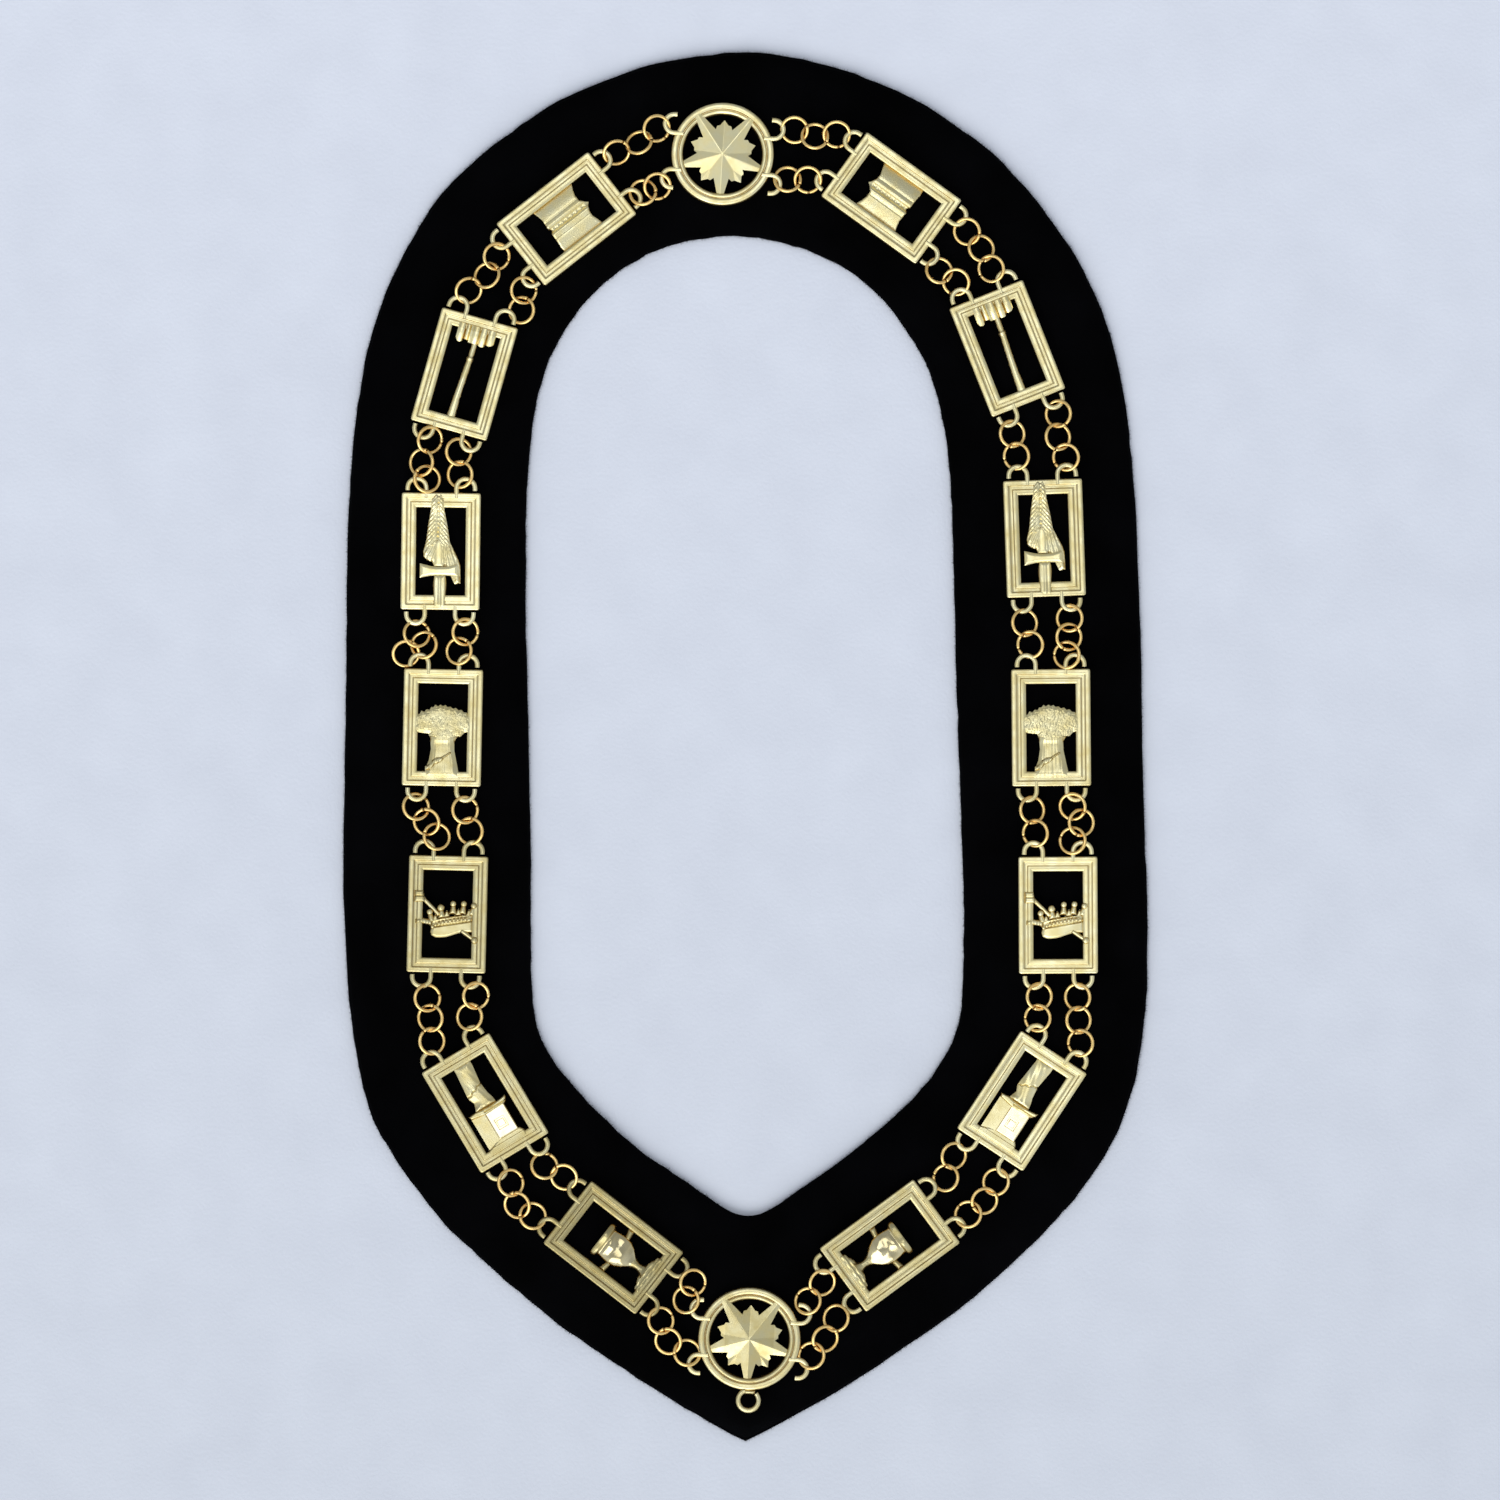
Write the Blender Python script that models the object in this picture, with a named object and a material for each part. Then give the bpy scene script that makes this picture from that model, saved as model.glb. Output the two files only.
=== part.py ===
"""A chain of office: sixteen gilt cast links, joined by two strands of jump rings, on a black velvet collar.

The collar lies flat with its underside at z = 0 and its point at -Y.
The origin is in the middle of the collar's outline.
"""

import math

import bmesh
import bpy
from mathutils import Matrix, Vector

# The velvet collar
COLLAR_LENGTH = 0.457
COLLAR_WIDTH = 0.2645
VELVET_THICKNESS = 0.003
VELVET_ROUNDING = 0.0011

# The cast links
LINK_LENGTH = 0.0385
LINK_WIDTH = 0.0260
LINK_THICKNESS = 0.0032
SIDE_BAR = 0.0050
END_BAR = 0.0048
MEDALLION_DIAMETER = 0.0340
MEDALLION_BAR = 0.0041
MEDALLION_SIDES = 16
EMBLEM_BACK = 0.0004
TURNED_SIDES = 6

# The cast eyes at the ends of each link
EYE_WIDTH = 0.0077
EYE_REACH = 0.0054
EYE_WIRE_WIDTH = 0.0014
EYE_WIRE_DEPTH = 0.0010
EYE_SLOT = 0.0007
EYE_HEIGHT = 0.0027
LINK_EYE_OFFSET = 0.0080
MEDALLION_EYE_OFFSET = 0.0090
MEDALLION_EYE_BASE = 0.0149
PENDANT_EYE_WIDTH = 0.0063
PENDANT_EYE_REACH = 0.0060
PENDANT_EYE_SLOT = 0.0024

# The jump rings
RING_DIAMETER = 0.0095
RING_WIRE = 0.00102
RING_SIDES = 10
WIRE_SIDES = 5
RING_BITE = 0.12
THREAD_GAP = 0.00034
VELVET_CLEARANCE = 0.00008
MOST_HOLD = 0.0022
OUTER_SPAN = 0.00962
OUTER_RINGS = 3

# The gap between a link's back and the velvet
LIE_GAP = 0.0003

# Sections across the velvet, from the point up the left side, over the neck and down the right side.
# Each is a point on the outer edge and one on the inner edge, as shares of half the width and length.
VELVET_SECTIONS = [
    # outer_x, outer_y, inner_x, inner_y
    (0.000, -1.000, 0.005, -0.685),
    (-0.240, -0.920, -0.130, -0.633),
    (-0.464, -0.832, -0.260, -0.582),
    (-0.613, -0.760, -0.365, -0.527),
    (-0.747, -0.688, -0.452, -0.472),
    (-0.844, -0.616, -0.494, -0.436),
    (-0.921, -0.544, -0.519, -0.400),
    (-0.958, -0.472, -0.529, -0.357),
    (-0.985, -0.364, -0.533, -0.293),
    (-1.000, -0.185, -0.533, -0.149),
    (-0.993, 0.067, -0.541, 0.067),
    (-0.990, 0.283, -0.546, 0.247),
    (-0.975, 0.441, -0.541, 0.383),
    (-0.940, 0.570, -0.521, 0.491),
    (-0.876, 0.678, -0.479, 0.567),
    (-0.769, 0.786, -0.404, 0.635),
    (-0.643, 0.858, -0.318, 0.682),
    (-0.464, 0.930, -0.221, 0.714),
    (-0.236, 0.981, -0.112, 0.731),
    (0.007, 1.000, 0.000, 0.734),
    (0.223, 0.978, 0.136, 0.718),
    (0.427, 0.930, 0.248, 0.688),
    (0.608, 0.858, 0.345, 0.642),
    (0.725, 0.786, 0.404, 0.596),
    (0.831, 0.697, 0.447, 0.553),
    (0.901, 0.606, 0.479, 0.501),
    (0.945, 0.498, 0.504, 0.426),
    (0.970, 0.354, 0.516, 0.311),
    (0.985, 0.139, 0.524, 0.124),
    (0.990, -0.041, 0.533, -0.034),
    (1.000, -0.221, 0.543, -0.206),
    (0.998, -0.364, 0.543, -0.314),
    (0.973, -0.472, 0.533, -0.390),
    (0.918, -0.566, 0.506, -0.436),
    (0.819, -0.652, 0.454, -0.482),
    (0.695, -0.728, 0.385, -0.525),
    (0.521, -0.815, 0.261, -0.586),
    (0.262, -0.917, 0.135, -0.638),
]

# The chain's route: each link's emblem, its centre in metres, and its turn in degrees.
# outer_bow is how far the middle ring of the next outer strand lies out of line, in ring diameters.
CHAIN_ROUTE = [
    # name, emblem, x, y, turn, outer_bow
    ("star_top", "star", -0.0074, 0.1946, -3.5, -0.11),
    ("book_left", "book", -0.0587, 0.1733, 128.1, -0.16),
    ("gavel_left", "gavel", -0.0922, 0.1223, -15.8, 0.27),
    ("sword_left", "sword", -0.1000, 0.0641, -0.7, -0.48),
    ("sheaf_left", "sheaf", -0.0994, 0.0062, -1.2, 0.0),
    ("crown_left", "crown", -0.0978, -0.0551, -1.4, 0.03),
    ("column_left", "column", -0.0854, -0.1171, 30.9, 0.26),
    ("cup_left", "cup", -0.0433, -0.1646, 52.2, 0.26),
    ("star_bottom", "pendant_star", 0.0014, -0.1946, -3.0, 0.09),
    ("cup_right", "cup", 0.0475, -0.1639, -53.6, 0.13),
    ("column_right", "column", 0.0909, -0.1164, -33.3, 0.0),
    ("crown_right", "crown", 0.1028, -0.0554, 0.3, 0.30),
    ("sheaf_right", "sheaf", 0.1005, 0.0062, 0.5, 0.0),
    ("sword_right", "sword", 0.0983, 0.0684, 2.0, -0.16),
    ("gavel_right", "gavel", 0.0861, 0.1307, 21.6, 0.10),
    ("book_right", "book", 0.0480, 0.1801, -125.8, -0.14),
]

# The moulding of a link's frame, from its outer foot over the top to its inner foot.
FRAME_MOULDING = [
    # inset as a share of the bar, height as a share of the thickness
    (0.0, 0.0),
    (0.0, 0.88),
    (0.10, 1.0),
    (0.24, 0.84),
    (1.0, 0.64),
    (1.0, 0.0),
]

MEDALLION_MOULDING = [
    # inset as a share of the bar, height as a share of the thickness
    (0.0, 0.0),
    (0.0, 0.72),
    (0.38, 1.0),
    (0.70, 1.0),
    (1.0, 0.64),
    (1.0, 0.0),
]

# One ray pair of the star, from a main ray to the notch before the next, repeated all round.
STAR_RAYS = [
    # bearing as a share of one ray's angle, radius as a share of the medallion's, height share
    (0.0, 0.88, 0.62),
    (0.27, 0.49, 0.40),
    (0.50, 0.65, 0.50),
    (0.73, 0.49, 0.40),
]
STAR_RAY_COUNT = 5
STAR_PEAK = 1.06

# The emblems' outlines are shares of half the opening's width and length, counterclockwise.
BOOK_ARCH = [
    # across as a share of half the width, height as a share of the thickness
    (-1.12, 0.50),
    (-0.80, 0.84),
    (-0.36, 0.92),
    (-0.08, 0.66),
    (0.08, 0.66),
    (0.36, 0.92),
    (0.80, 0.84),
    (1.12, 0.50),
]
BOOK_FOOT = -0.62
BOOK_HEAD = 0.46
BOOK_SPINE_WIDTH = 0.16
BOOK_SPINE_PROUD = 0.07

GAVEL_HEAD = [
    # across as a share of half the width, radius as a share of half the length
    (-0.70, 0.16),
    (-0.46, 0.23),
    (-0.20, 0.13),
    (0.20, 0.13),
    (0.46, 0.23),
    (0.70, 0.16),
]
GAVEL_HEAD_PLACE = 0.86
GAVEL_HANDLE = [
    (-0.18, -1.08),
    (0.18, -1.08),
    (0.11, 0.80),
    (-0.11, 0.80),
]

VEIL = [
    (-0.42, -0.42),
    (0.42, -0.42),
    (0.58, -0.76),
    (0.68, -0.36),
    (0.28, 0.40),
    (0.05, 1.18),
    (-0.26, 1.18),
    (-0.50, 0.58),
    (-0.74, 0.00),
]
SWORD_GUARD = [
    (-0.90, -0.60),
    (-0.20, -0.54),
    (0.50, -0.59),
    (0.50, -0.27),
    (-0.20, -0.32),
    (-0.90, -0.27),
]
SWORD_GRIP = [
    (-0.38, -1.10),
    (0.02, -1.10),
    (0.08, -0.50),
    (-0.44, -0.50),
]

SHEAF = [
    (-0.68, -1.06),
    (0.68, -1.06),
    (0.46, -0.50),
    (0.48, -0.28),
    (0.76, -0.12),
    (1.16, -0.02),
    (1.16, 0.22),
    (0.88, 0.36),
    (0.0, 0.50),
    (-0.88, 0.36),
    (-1.14, 0.22),
    (-1.14, -0.06),
    (-0.46, -0.14),
]
SHEAF_TIE = [
    (-0.56, -0.93),
    (-0.46, -0.96),
    (0.02, -0.56),
    (-0.06, -0.53),
]

CROWN = [
    (-0.72, -0.45),
    (0.24, -0.42),
    (1.14, -0.12),
    (1.14, 0.24),
    (0.88, 0.09),
    (0.65, 0.28),
    (0.42, 0.09),
    (0.19, 0.28),
    (-0.05, 0.04),
    (-0.30, 0.19),
    (-0.50, 0.0),
    (-0.78, 0.09),
    (-0.72, -0.20),
]
CROWN_STRUT = [
    (-1.16, -0.13),
    (-0.70, -0.13),
    (-0.70, -0.05),
    (-1.16, -0.05),
]
SCEPTRE = [
    (-1.24, 0.44),
    (1.14, -0.62),
    (1.18, -0.56),
    (-1.18, 0.50),
]

COLUMN_BASE = [
    (-0.92, -1.08),
    (0.82, -1.08),
    (0.76, -0.82),
    (-0.84, -0.82),
]
COLUMN_DIE = [
    (-0.77, -0.88),
    (0.58, -0.88),
    (0.60, -0.16),
    (-0.79, -0.16),
]
COLUMN_CAP = [
    (-0.74, -0.24),
    (0.60, -0.24),
    (0.82, -0.05),
    (-0.92, -0.05),
]
COLUMN_SHAFT = [
    (-0.48, -0.14),
    (0.22, -0.14),
    (0.26, 0.56),
    (0.42, 1.10),
    (-0.26, 1.10),
    (-0.54, 0.25),
]

CUP_BODY = [
    # along as a share of half the length, radius as a share of half the width
    (0.34, 0.76),
    (0.20, 0.72),
    (-0.15, 0.68),
    (-0.42, 0.46),
    (-0.66, 0.14),
    (-0.80, 0.18),
    (-0.96, 0.82),
    (-1.08, 0.88),
]
CUP_STRUTS = [
    (-1.14, -0.08),
    (1.14, -0.08),
    (1.14, 0.02),
    (-1.14, 0.02),
]

VELVET_COLOUR = (0.006, 0.006, 0.008, 1.0)
CASTING_COLOUR = (0.72, 0.62, 0.33, 1.0)
RING_COLOUR = (0.74, 0.56, 0.24, 1.0)


def clear_scene():
    """Start from an empty scene."""
    for old in list(bpy.data.objects):
        bpy.data.objects.remove(old, do_unlink=True)


def make_material(name, colour, metallic, roughness):
    """A plain Principled material."""
    material = bpy.data.materials.new(name)
    material.use_nodes = True
    shader = material.node_tree.nodes["Principled BSDF"]
    shader.inputs["Base Color"].default_value = colour
    shader.inputs["Metallic"].default_value = metallic
    shader.inputs["Roughness"].default_value = roughness
    return material


def add_object(name, mesh, material):
    """An object in the scene with one material, its round faces shaded smooth."""
    mesh.materials.clear()
    mesh.materials.append(material)
    mesh.shade_smooth()
    mesh.set_sharp_from_angle(angle=math.radians(30))
    piece = bpy.data.objects.new(name, mesh)
    bpy.context.collection.objects.link(piece)
    return piece


def mesh_from(bm, name):
    """A mesh of a closed bmesh, its faces pointing out."""
    bmesh.ops.recalc_face_normals(bm, faces=bm.faces)
    mesh = bpy.data.meshes.new(name)
    bm.to_mesh(mesh)
    bm.free()
    return mesh


def looped_mesh(name, loops, closed_along):
    """Join equal loops of points with quads; a row of loops that isn't closed gets two end faces."""
    bm = bmesh.new()
    rows = [[bm.verts.new(point) for point in loop] for loop in loops]
    count = len(rows[0])
    spans = len(rows) if closed_along else len(rows) - 1
    for i in range(spans):
        row = rows[i]
        after = rows[(i + 1) % len(rows)]
        for k in range(count):
            nxt = (k + 1) % count
            bm.faces.new((row[k], row[nxt], after[nxt], after[k]))
    if not closed_along:
        bm.faces.new(rows[0])
        bm.faces.new(list(reversed(rows[-1])))
    return mesh_from(bm, name)


def prism(outline, low, high):
    """An outline in the link's plane, drawn up from one height to another."""
    bm = bmesh.new()
    face = bm.faces.new([bm.verts.new((x, y, low)) for x, y in outline])
    grown = bmesh.ops.extrude_face_region(bm, geom=[face])
    raised = [part for part in grown["geom"] if isinstance(part, bmesh.types.BMVert)]
    bmesh.ops.translate(bm, vec=(0, 0, high - low), verts=raised)
    return mesh_from(bm, "prism")


def relief(outline, low, crown, draft):
    """A prism that draws in towards its top, as cast relief does."""
    bm = bmesh.new()
    back = bm.faces.new([bm.verts.new((x, y, low)) for x, y in outline])
    back.normal_update()
    if back.normal.z < 0:
        back.normal_flip()
    front = bmesh.ops.duplicate(bm, geom=[back])["face_map"][back]
    bmesh.ops.inset_region(
        bm, faces=[front], thickness=draft, depth=crown - low, use_boundary=True, use_even_offset=True
    )
    bmesh.ops.remove_doubles(bm, verts=bm.verts, dist=0.00001)
    return mesh_from(bm, "relief")


def turned(profile, across, centre, flatness):
    """A lathe-turned form lying in the link's plane, flattened in height.

    across is True where its axis runs along X and False where it runs along Y.
    """
    loops = []
    for place, radius in profile:
        loop = []
        for k in range(TURNED_SIDES):
            angle = math.tau * (k + 0.5) / TURNED_SIDES
            side = radius * math.cos(angle)
            rise = radius * math.sin(angle) * flatness
            if across:
                loop.append((centre[0] + place, centre[1] + side, centre[2] + rise))
            else:
                loop.append((centre[0] + side, centre[1] + place, centre[2] + rise))
        loops.append(loop)
    return looped_mesh("turned", loops, closed_along=False)


def fuse(name, meshes):
    """One closed body out of meshes that overlap."""
    parts = []
    for mesh in meshes:
        part = bpy.data.objects.new("part", mesh)
        bpy.context.collection.objects.link(part)
        parts.append(part)
    base = parts[0]
    for other in parts[1:]:
        union = base.modifiers.new("union", "BOOLEAN")
        union.operation = "UNION"
        union.solver = "EXACT"
        union.object = other
    graph = bpy.context.evaluated_depsgraph_get()
    mesh = bpy.data.meshes.new_from_object(base.evaluated_get(graph))
    mesh.name = name
    for part in parts:
        bpy.data.objects.remove(part, do_unlink=True)
    return mesh


def make_velvet(material):
    """The velvet collar: a flat band with rounded edges, one closed loop round the neck."""
    half_width = COLLAR_WIDTH / 2
    half_length = COLLAR_LENGTH / 2
    top = VELVET_THICKNESS
    round_height = VELVET_THICKNESS / 2
    loops = []
    for outer_x, outer_y, inner_x, inner_y in VELVET_SECTIONS:
        rim = Vector((outer_x * half_width, outer_y * half_length))
        throat = Vector((inner_x * half_width, inner_y * half_length))
        inward = (throat - rim).normalized() * VELVET_ROUNDING
        loops.append([
            (*(rim + inward), 0),
            (*rim, round_height),
            (*(rim + inward), top),
            (*(throat - inward), top),
            (*throat, round_height),
            (*(throat - inward), 0),
        ])
    mesh = looped_mesh("velvet_collar", loops, closed_along=True)
    return add_object("velvet_collar", mesh, material)


def link_frame():
    """The rectangular moulded frame of a link."""
    loops = []
    for inset, height in FRAME_MOULDING:
        x = LINK_WIDTH / 2 - inset * SIDE_BAR
        y = LINK_LENGTH / 2 - inset * END_BAR
        z = height * LINK_THICKNESS
        loops.append([(x, y, z), (-x, y, z), (-x, -y, z), (x, -y, z)])
    return looped_mesh("frame", loops, closed_along=True)


def medallion_frame():
    """The round moulded frame of a star medallion."""
    loops = []
    for inset, height in MEDALLION_MOULDING:
        radius = MEDALLION_DIAMETER / 2 - inset * MEDALLION_BAR
        loop = []
        for k in range(MEDALLION_SIDES):
            angle = math.tau * (k + 0.5) / MEDALLION_SIDES
            loop.append((radius * math.cos(angle), radius * math.sin(angle), height * LINK_THICKNESS))
        loops.append(loop)
    return looped_mesh("round_frame", loops, closed_along=True)


def eye(width, reach, slot, place):
    """A cast eye: a flat hook whose first leg springs from the frame and whose second stops short of it.

    place takes it from its own plane, where it points along +Y from the frame's edge, to the link.
    """
    half = width / 2
    path = [
        Vector((-half, -EYE_WIRE_WIDTH)),
        Vector((-half, reach - half * 0.72)),
        Vector((-half * 0.52, reach)),
        Vector((half * 0.52, reach)),
        Vector((half, reach - half * 0.72)),
        Vector((half, slot)),
    ]
    left = []
    right = []
    for i, point in enumerate(path):
        before = (point - path[max(i - 1, 0)]).normalized() if i > 0 else (path[1] - point).normalized()
        after = (path[i + 1] - point).normalized() if i + 1 < len(path) else before
        mitre = Vector((-(before.y + after.y), before.x + after.x)).normalized()
        spread = EYE_WIRE_WIDTH / 2 / mitre.dot(Vector((-before.y, before.x)))
        left.append(point + mitre * spread)
        right.append(point - mitre * spread)
    mesh = prism(left + right[::-1], EYE_HEIGHT - EYE_WIRE_DEPTH / 2, EYE_HEIGHT + EYE_WIRE_DEPTH / 2)
    mesh.transform(place)
    if place.determinant() < 0:
        mesh.flip_normals()
    return mesh


def eye_places(emblem):
    """Where a link's eyes stand: each one's transform from its own plane to the link."""
    places = []
    round_link = emblem in ("star", "pendant_star")
    offset = MEDALLION_EYE_OFFSET if round_link else LINK_EYE_OFFSET
    base = MEDALLION_EYE_BASE if round_link else LINK_LENGTH / 2
    quarter = math.radians(90) if round_link else 0.0
    for end_turn in (0.0, math.pi):
        for side in (1, -1):
            mirrored = Matrix.Diagonal((side, 1, 1, 1))
            seat = Matrix.Translation((side * offset, base, 0))
            places.append(Matrix.Rotation(end_turn + quarter, 4, "Z") @ seat @ mirrored)
    return places


def sized(outline):
    """An outline given in shares of half the opening, in metres."""
    half_width = LINK_WIDTH / 2 - SIDE_BAR
    half_length = LINK_LENGTH / 2 - END_BAR
    return [(u * half_width, v * half_length) for u, v in outline]


def raised(outline, crown, draft):
    """Cast relief on an outline: crown is a share of the thickness, draft of half the opening's width."""
    half_width = LINK_WIDTH / 2 - SIDE_BAR
    return relief(sized(outline), EMBLEM_BACK, crown * LINK_THICKNESS, draft * half_width)


def star_emblem():
    """A star of five long rays with five short ones between them, ridged to a peak in the middle."""
    bm = bmesh.new()
    radius = MEDALLION_DIAMETER / 2
    rim_low = []
    rim_high = []
    for ray in range(STAR_RAY_COUNT):
        for bearing, reach, height in STAR_RAYS:
            angle = math.tau * (ray + bearing) / STAR_RAY_COUNT - math.pi / 2
            x = radius * reach * math.cos(angle)
            y = radius * reach * math.sin(angle)
            rim_low.append(bm.verts.new((x, y, EMBLEM_BACK)))
            rim_high.append(bm.verts.new((x, y, height * LINK_THICKNESS)))
    peak = bm.verts.new((0, 0, STAR_PEAK * LINK_THICKNESS))
    bm.faces.new(rim_low)
    for i in range(len(rim_low)):
        nxt = (i + 1) % len(rim_low)
        bm.faces.new((rim_low[i], rim_low[nxt], rim_high[nxt], rim_high[i]))
        bm.faces.new((rim_high[i], rim_high[nxt], peak))
    return [mesh_from(bm, "star")]


def book_emblem():
    """An open book whose arched pages spread from its spine to the long sides of the frame."""
    half_width = LINK_WIDTH / 2 - SIDE_BAR
    half_length = LINK_LENGTH / 2 - END_BAR
    arch = [(u * half_width, h * LINK_THICKNESS) for u, h in BOOK_ARCH]
    section = [(arch[0][0], EMBLEM_BACK), *arch, (arch[-1][0], EMBLEM_BACK)]
    loops = [[(x, v * half_length, z) for x, z in section] for v in (BOOK_FOOT, BOOK_HEAD)]
    pages = looped_mesh("pages", loops, closed_along=False)
    spine = prism(
        sized([
            (-BOOK_SPINE_WIDTH / 2, BOOK_FOOT - BOOK_SPINE_PROUD),
            (BOOK_SPINE_WIDTH / 2, BOOK_FOOT - BOOK_SPINE_PROUD),
            (BOOK_SPINE_WIDTH / 2, BOOK_HEAD + BOOK_SPINE_PROUD),
            (-BOOK_SPINE_WIDTH / 2, BOOK_HEAD + BOOK_SPINE_PROUD),
        ]),
        EMBLEM_BACK * 1.5,
        0.74 * LINK_THICKNESS,
    )
    return [pages, spine]


def gavel_emblem():
    """A gavel: its turned head on the top bar and its long handle down to the bottom bar."""
    half_width = LINK_WIDTH / 2 - SIDE_BAR
    half_length = LINK_LENGTH / 2 - END_BAR
    profile = [(u * half_width, r * half_length) for u, r in GAVEL_HEAD]
    centre = (0, GAVEL_HEAD_PLACE * half_length, LINK_THICKNESS * 0.58)
    head = turned(profile, True, centre, 0.46)
    return [head, raised(GAVEL_HANDLE, 0.80, 0.04)]


def sword_emblem():
    """A sword with its hilt down, its blade wrapped in a veil that tapers up to the top bar."""
    return [
        raised(VEIL, 0.94, 0.10),
        raised(SWORD_GUARD, 0.84, 0.05),
        raised(SWORD_GRIP, 0.90, 0.09),
    ]


def sheaf_emblem():
    """A sheaf of wheat: a wide head of ears, a bound waist and spread stalks."""
    tie = prism(sized(SHEAF_TIE), LINK_THICKNESS * 0.30, LINK_THICKNESS * 1.0)
    return [raised(SHEAF, 0.90, 0.12), tie]


def crown_emblem():
    """A crown of five points, tilted, with a sceptre crossing behind it."""
    strut = prism(sized(CROWN_STRUT), LINK_THICKNESS * 0.20, LINK_THICKNESS * 0.62)
    sceptre = prism(sized(SCEPTRE), LINK_THICKNESS * 0.24, LINK_THICKNESS * 0.56)
    return [raised(CROWN, 0.90, 0.03), strut, sceptre]


def column_emblem():
    """A broken column on a stepped base, its shaft leaning to the top bar."""
    return [
        raised(COLUMN_DIE, 0.76, 0.06),
        raised(COLUMN_BASE, 0.84, 0.05),
        prism(sized(COLUMN_CAP), LINK_THICKNESS * 0.20, LINK_THICKNESS * 0.94),
        raised(COLUMN_SHAFT, 0.86, 0.12),
    ]


def cup_emblem():
    """A round cup on a stem and foot, held by a strut to each long bar."""
    half_width = LINK_WIDTH / 2 - SIDE_BAR
    half_length = LINK_LENGTH / 2 - END_BAR
    profile = [(v * half_length, r * half_width) for v, r in CUP_BODY]
    body = turned(profile[::-1], False, (0, 0, LINK_THICKNESS * 0.58), 0.24)
    struts = prism(sized(CUP_STRUTS), LINK_THICKNESS * 0.30, LINK_THICKNESS * 0.60)
    return [body, struts]


EMBLEM_MAKERS = {
    "star": star_emblem,
    "pendant_star": star_emblem,
    "book": book_emblem,
    "gavel": gavel_emblem,
    "sword": sword_emblem,
    "sheaf": sheaf_emblem,
    "crown": crown_emblem,
    "column": column_emblem,
    "cup": cup_emblem,
}


def link_mesh(emblem):
    """One casting: its frame, its emblem and its eyes, all one body."""
    frame = medallion_frame() if emblem in ("star", "pendant_star") else link_frame()
    solids = [frame, *EMBLEM_MAKERS[emblem]()]
    solids += [eye(EYE_WIDTH, EYE_REACH, EYE_SLOT, place) for place in eye_places(emblem)]
    if emblem == "pendant_star":
        down = Matrix.Rotation(math.pi, 4, "Z") @ Matrix.Translation((0, MEDALLION_DIAMETER / 2, 0))
        mirrored = Matrix.Diagonal((-1, 1, 1, 1))
        solids.append(eye(PENDANT_EYE_WIDTH, PENDANT_EYE_REACH, PENDANT_EYE_SLOT, down @ mirrored))
    return fuse(emblem, solids)


def link_place(x, y, turn):
    """A link's transform: laid on the velvet, turned about its middle."""
    lift = VELVET_THICKNESS + LIE_GAP
    return Matrix.Translation((x, y, lift)) @ Matrix.Rotation(math.radians(turn), 4, "Z")


def make_links(material):
    """All sixteen links; a repeated emblem shares its mesh."""
    meshes = {}
    for name, emblem, x, y, turn, _bow in CHAIN_ROUTE:
        if emblem not in meshes:
            meshes[emblem] = link_mesh(emblem)
        piece = add_object(name, meshes[emblem], material)
        piece.matrix_world = link_place(x, y, turn)


def eye_centres(link):
    """The centre of each round eye on a placed link."""
    _name, emblem, x, y, turn, _bow = link
    centres = []
    for place in eye_places(emblem):
        world = link_place(x, y, turn) @ place
        centres.append(world @ Vector((0, EYE_REACH - EYE_WIDTH / 2, EYE_HEIGHT)))
    return centres


def facing_eyes(link, other):
    """The two eyes of a link that face another, the one farther from the collar's middle first."""
    toward = Vector((other[2], other[3]))
    centres = eye_centres(link)
    centres.sort(key=lambda centre: (centre.xy - toward).length)
    near = centres[:2]
    near.sort(key=lambda centre: -centre.xy.length)
    return near


def ring_points(centre, axis, lean, radius, count):
    """Points round a ring that lies about level, leaning about its chain's line."""
    across = Vector((-axis.y, axis.x, 0))
    rise = across * math.cos(lean) + Vector((0, 0, 1)) * math.sin(lean)
    points = []
    for k in range(count):
        angle = math.tau * k / count
        points.append(centre + axis * (radius * math.cos(angle)) + rise * (radius * math.sin(angle)))
    return points


def ring_mesh(centre, axis, lean):
    """A jump ring, as a wire of few sides bent round."""
    radius = (RING_DIAMETER - RING_WIRE) / 2
    middle_line = ring_points(centre, axis, lean, radius, RING_SIDES)
    across = Vector((-axis.y, axis.x, 0))
    normal = axis.cross(across * math.cos(lean) + Vector((0, 0, 1)) * math.sin(lean)).normalized()
    loops = []
    for point in middle_line:
        inward = (centre - point).normalized()
        loop = []
        for k in range(WIRE_SIDES):
            angle = math.tau * k / WIRE_SIDES
            offset = inward * math.cos(angle) + normal * math.sin(angle)
            loop.append(point + offset * (RING_WIRE / 2))
        loops.append(loop)
    return looped_mesh("ring", loops, closed_along=True)


def ring_gap(ring, other):
    """The least distance between the middle lines of two rings' wires."""
    radius = (RING_DIAMETER - RING_WIRE) / 2
    points = ring_points(*ring, radius, 96)
    others = ring_points(*other, radius, 96)
    return min((p - q).length for p in points for q in others)


def threading_lean(hold):
    """How far a ring leans so that its wire passes over one side of an eye and under the other."""
    radius = (RING_DIAMETER - RING_WIRE) / 2 * math.cos(math.pi / RING_SIDES)
    inner_edge = hold + EYE_WIRE_WIDTH / 2
    chord = math.sqrt(max(radius**2 - inner_edge**2, (radius * 0.5) ** 2))
    need = EYE_WIRE_DEPTH / 2 + RING_WIRE / 2 + THREAD_GAP
    room = LIE_GAP + EYE_HEIGHT - RING_WIRE / 2 - VELVET_CLEARANCE
    steepest = math.asin(room / ((RING_DIAMETER - RING_WIRE) / 2))
    over_legs = math.atan(need / (EYE_WIDTH / 2 - EYE_WIRE_WIDTH / 2))
    over_crown = math.asin(min(need / chord, math.sin(steepest)))
    return max(over_crown, over_legs)


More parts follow.
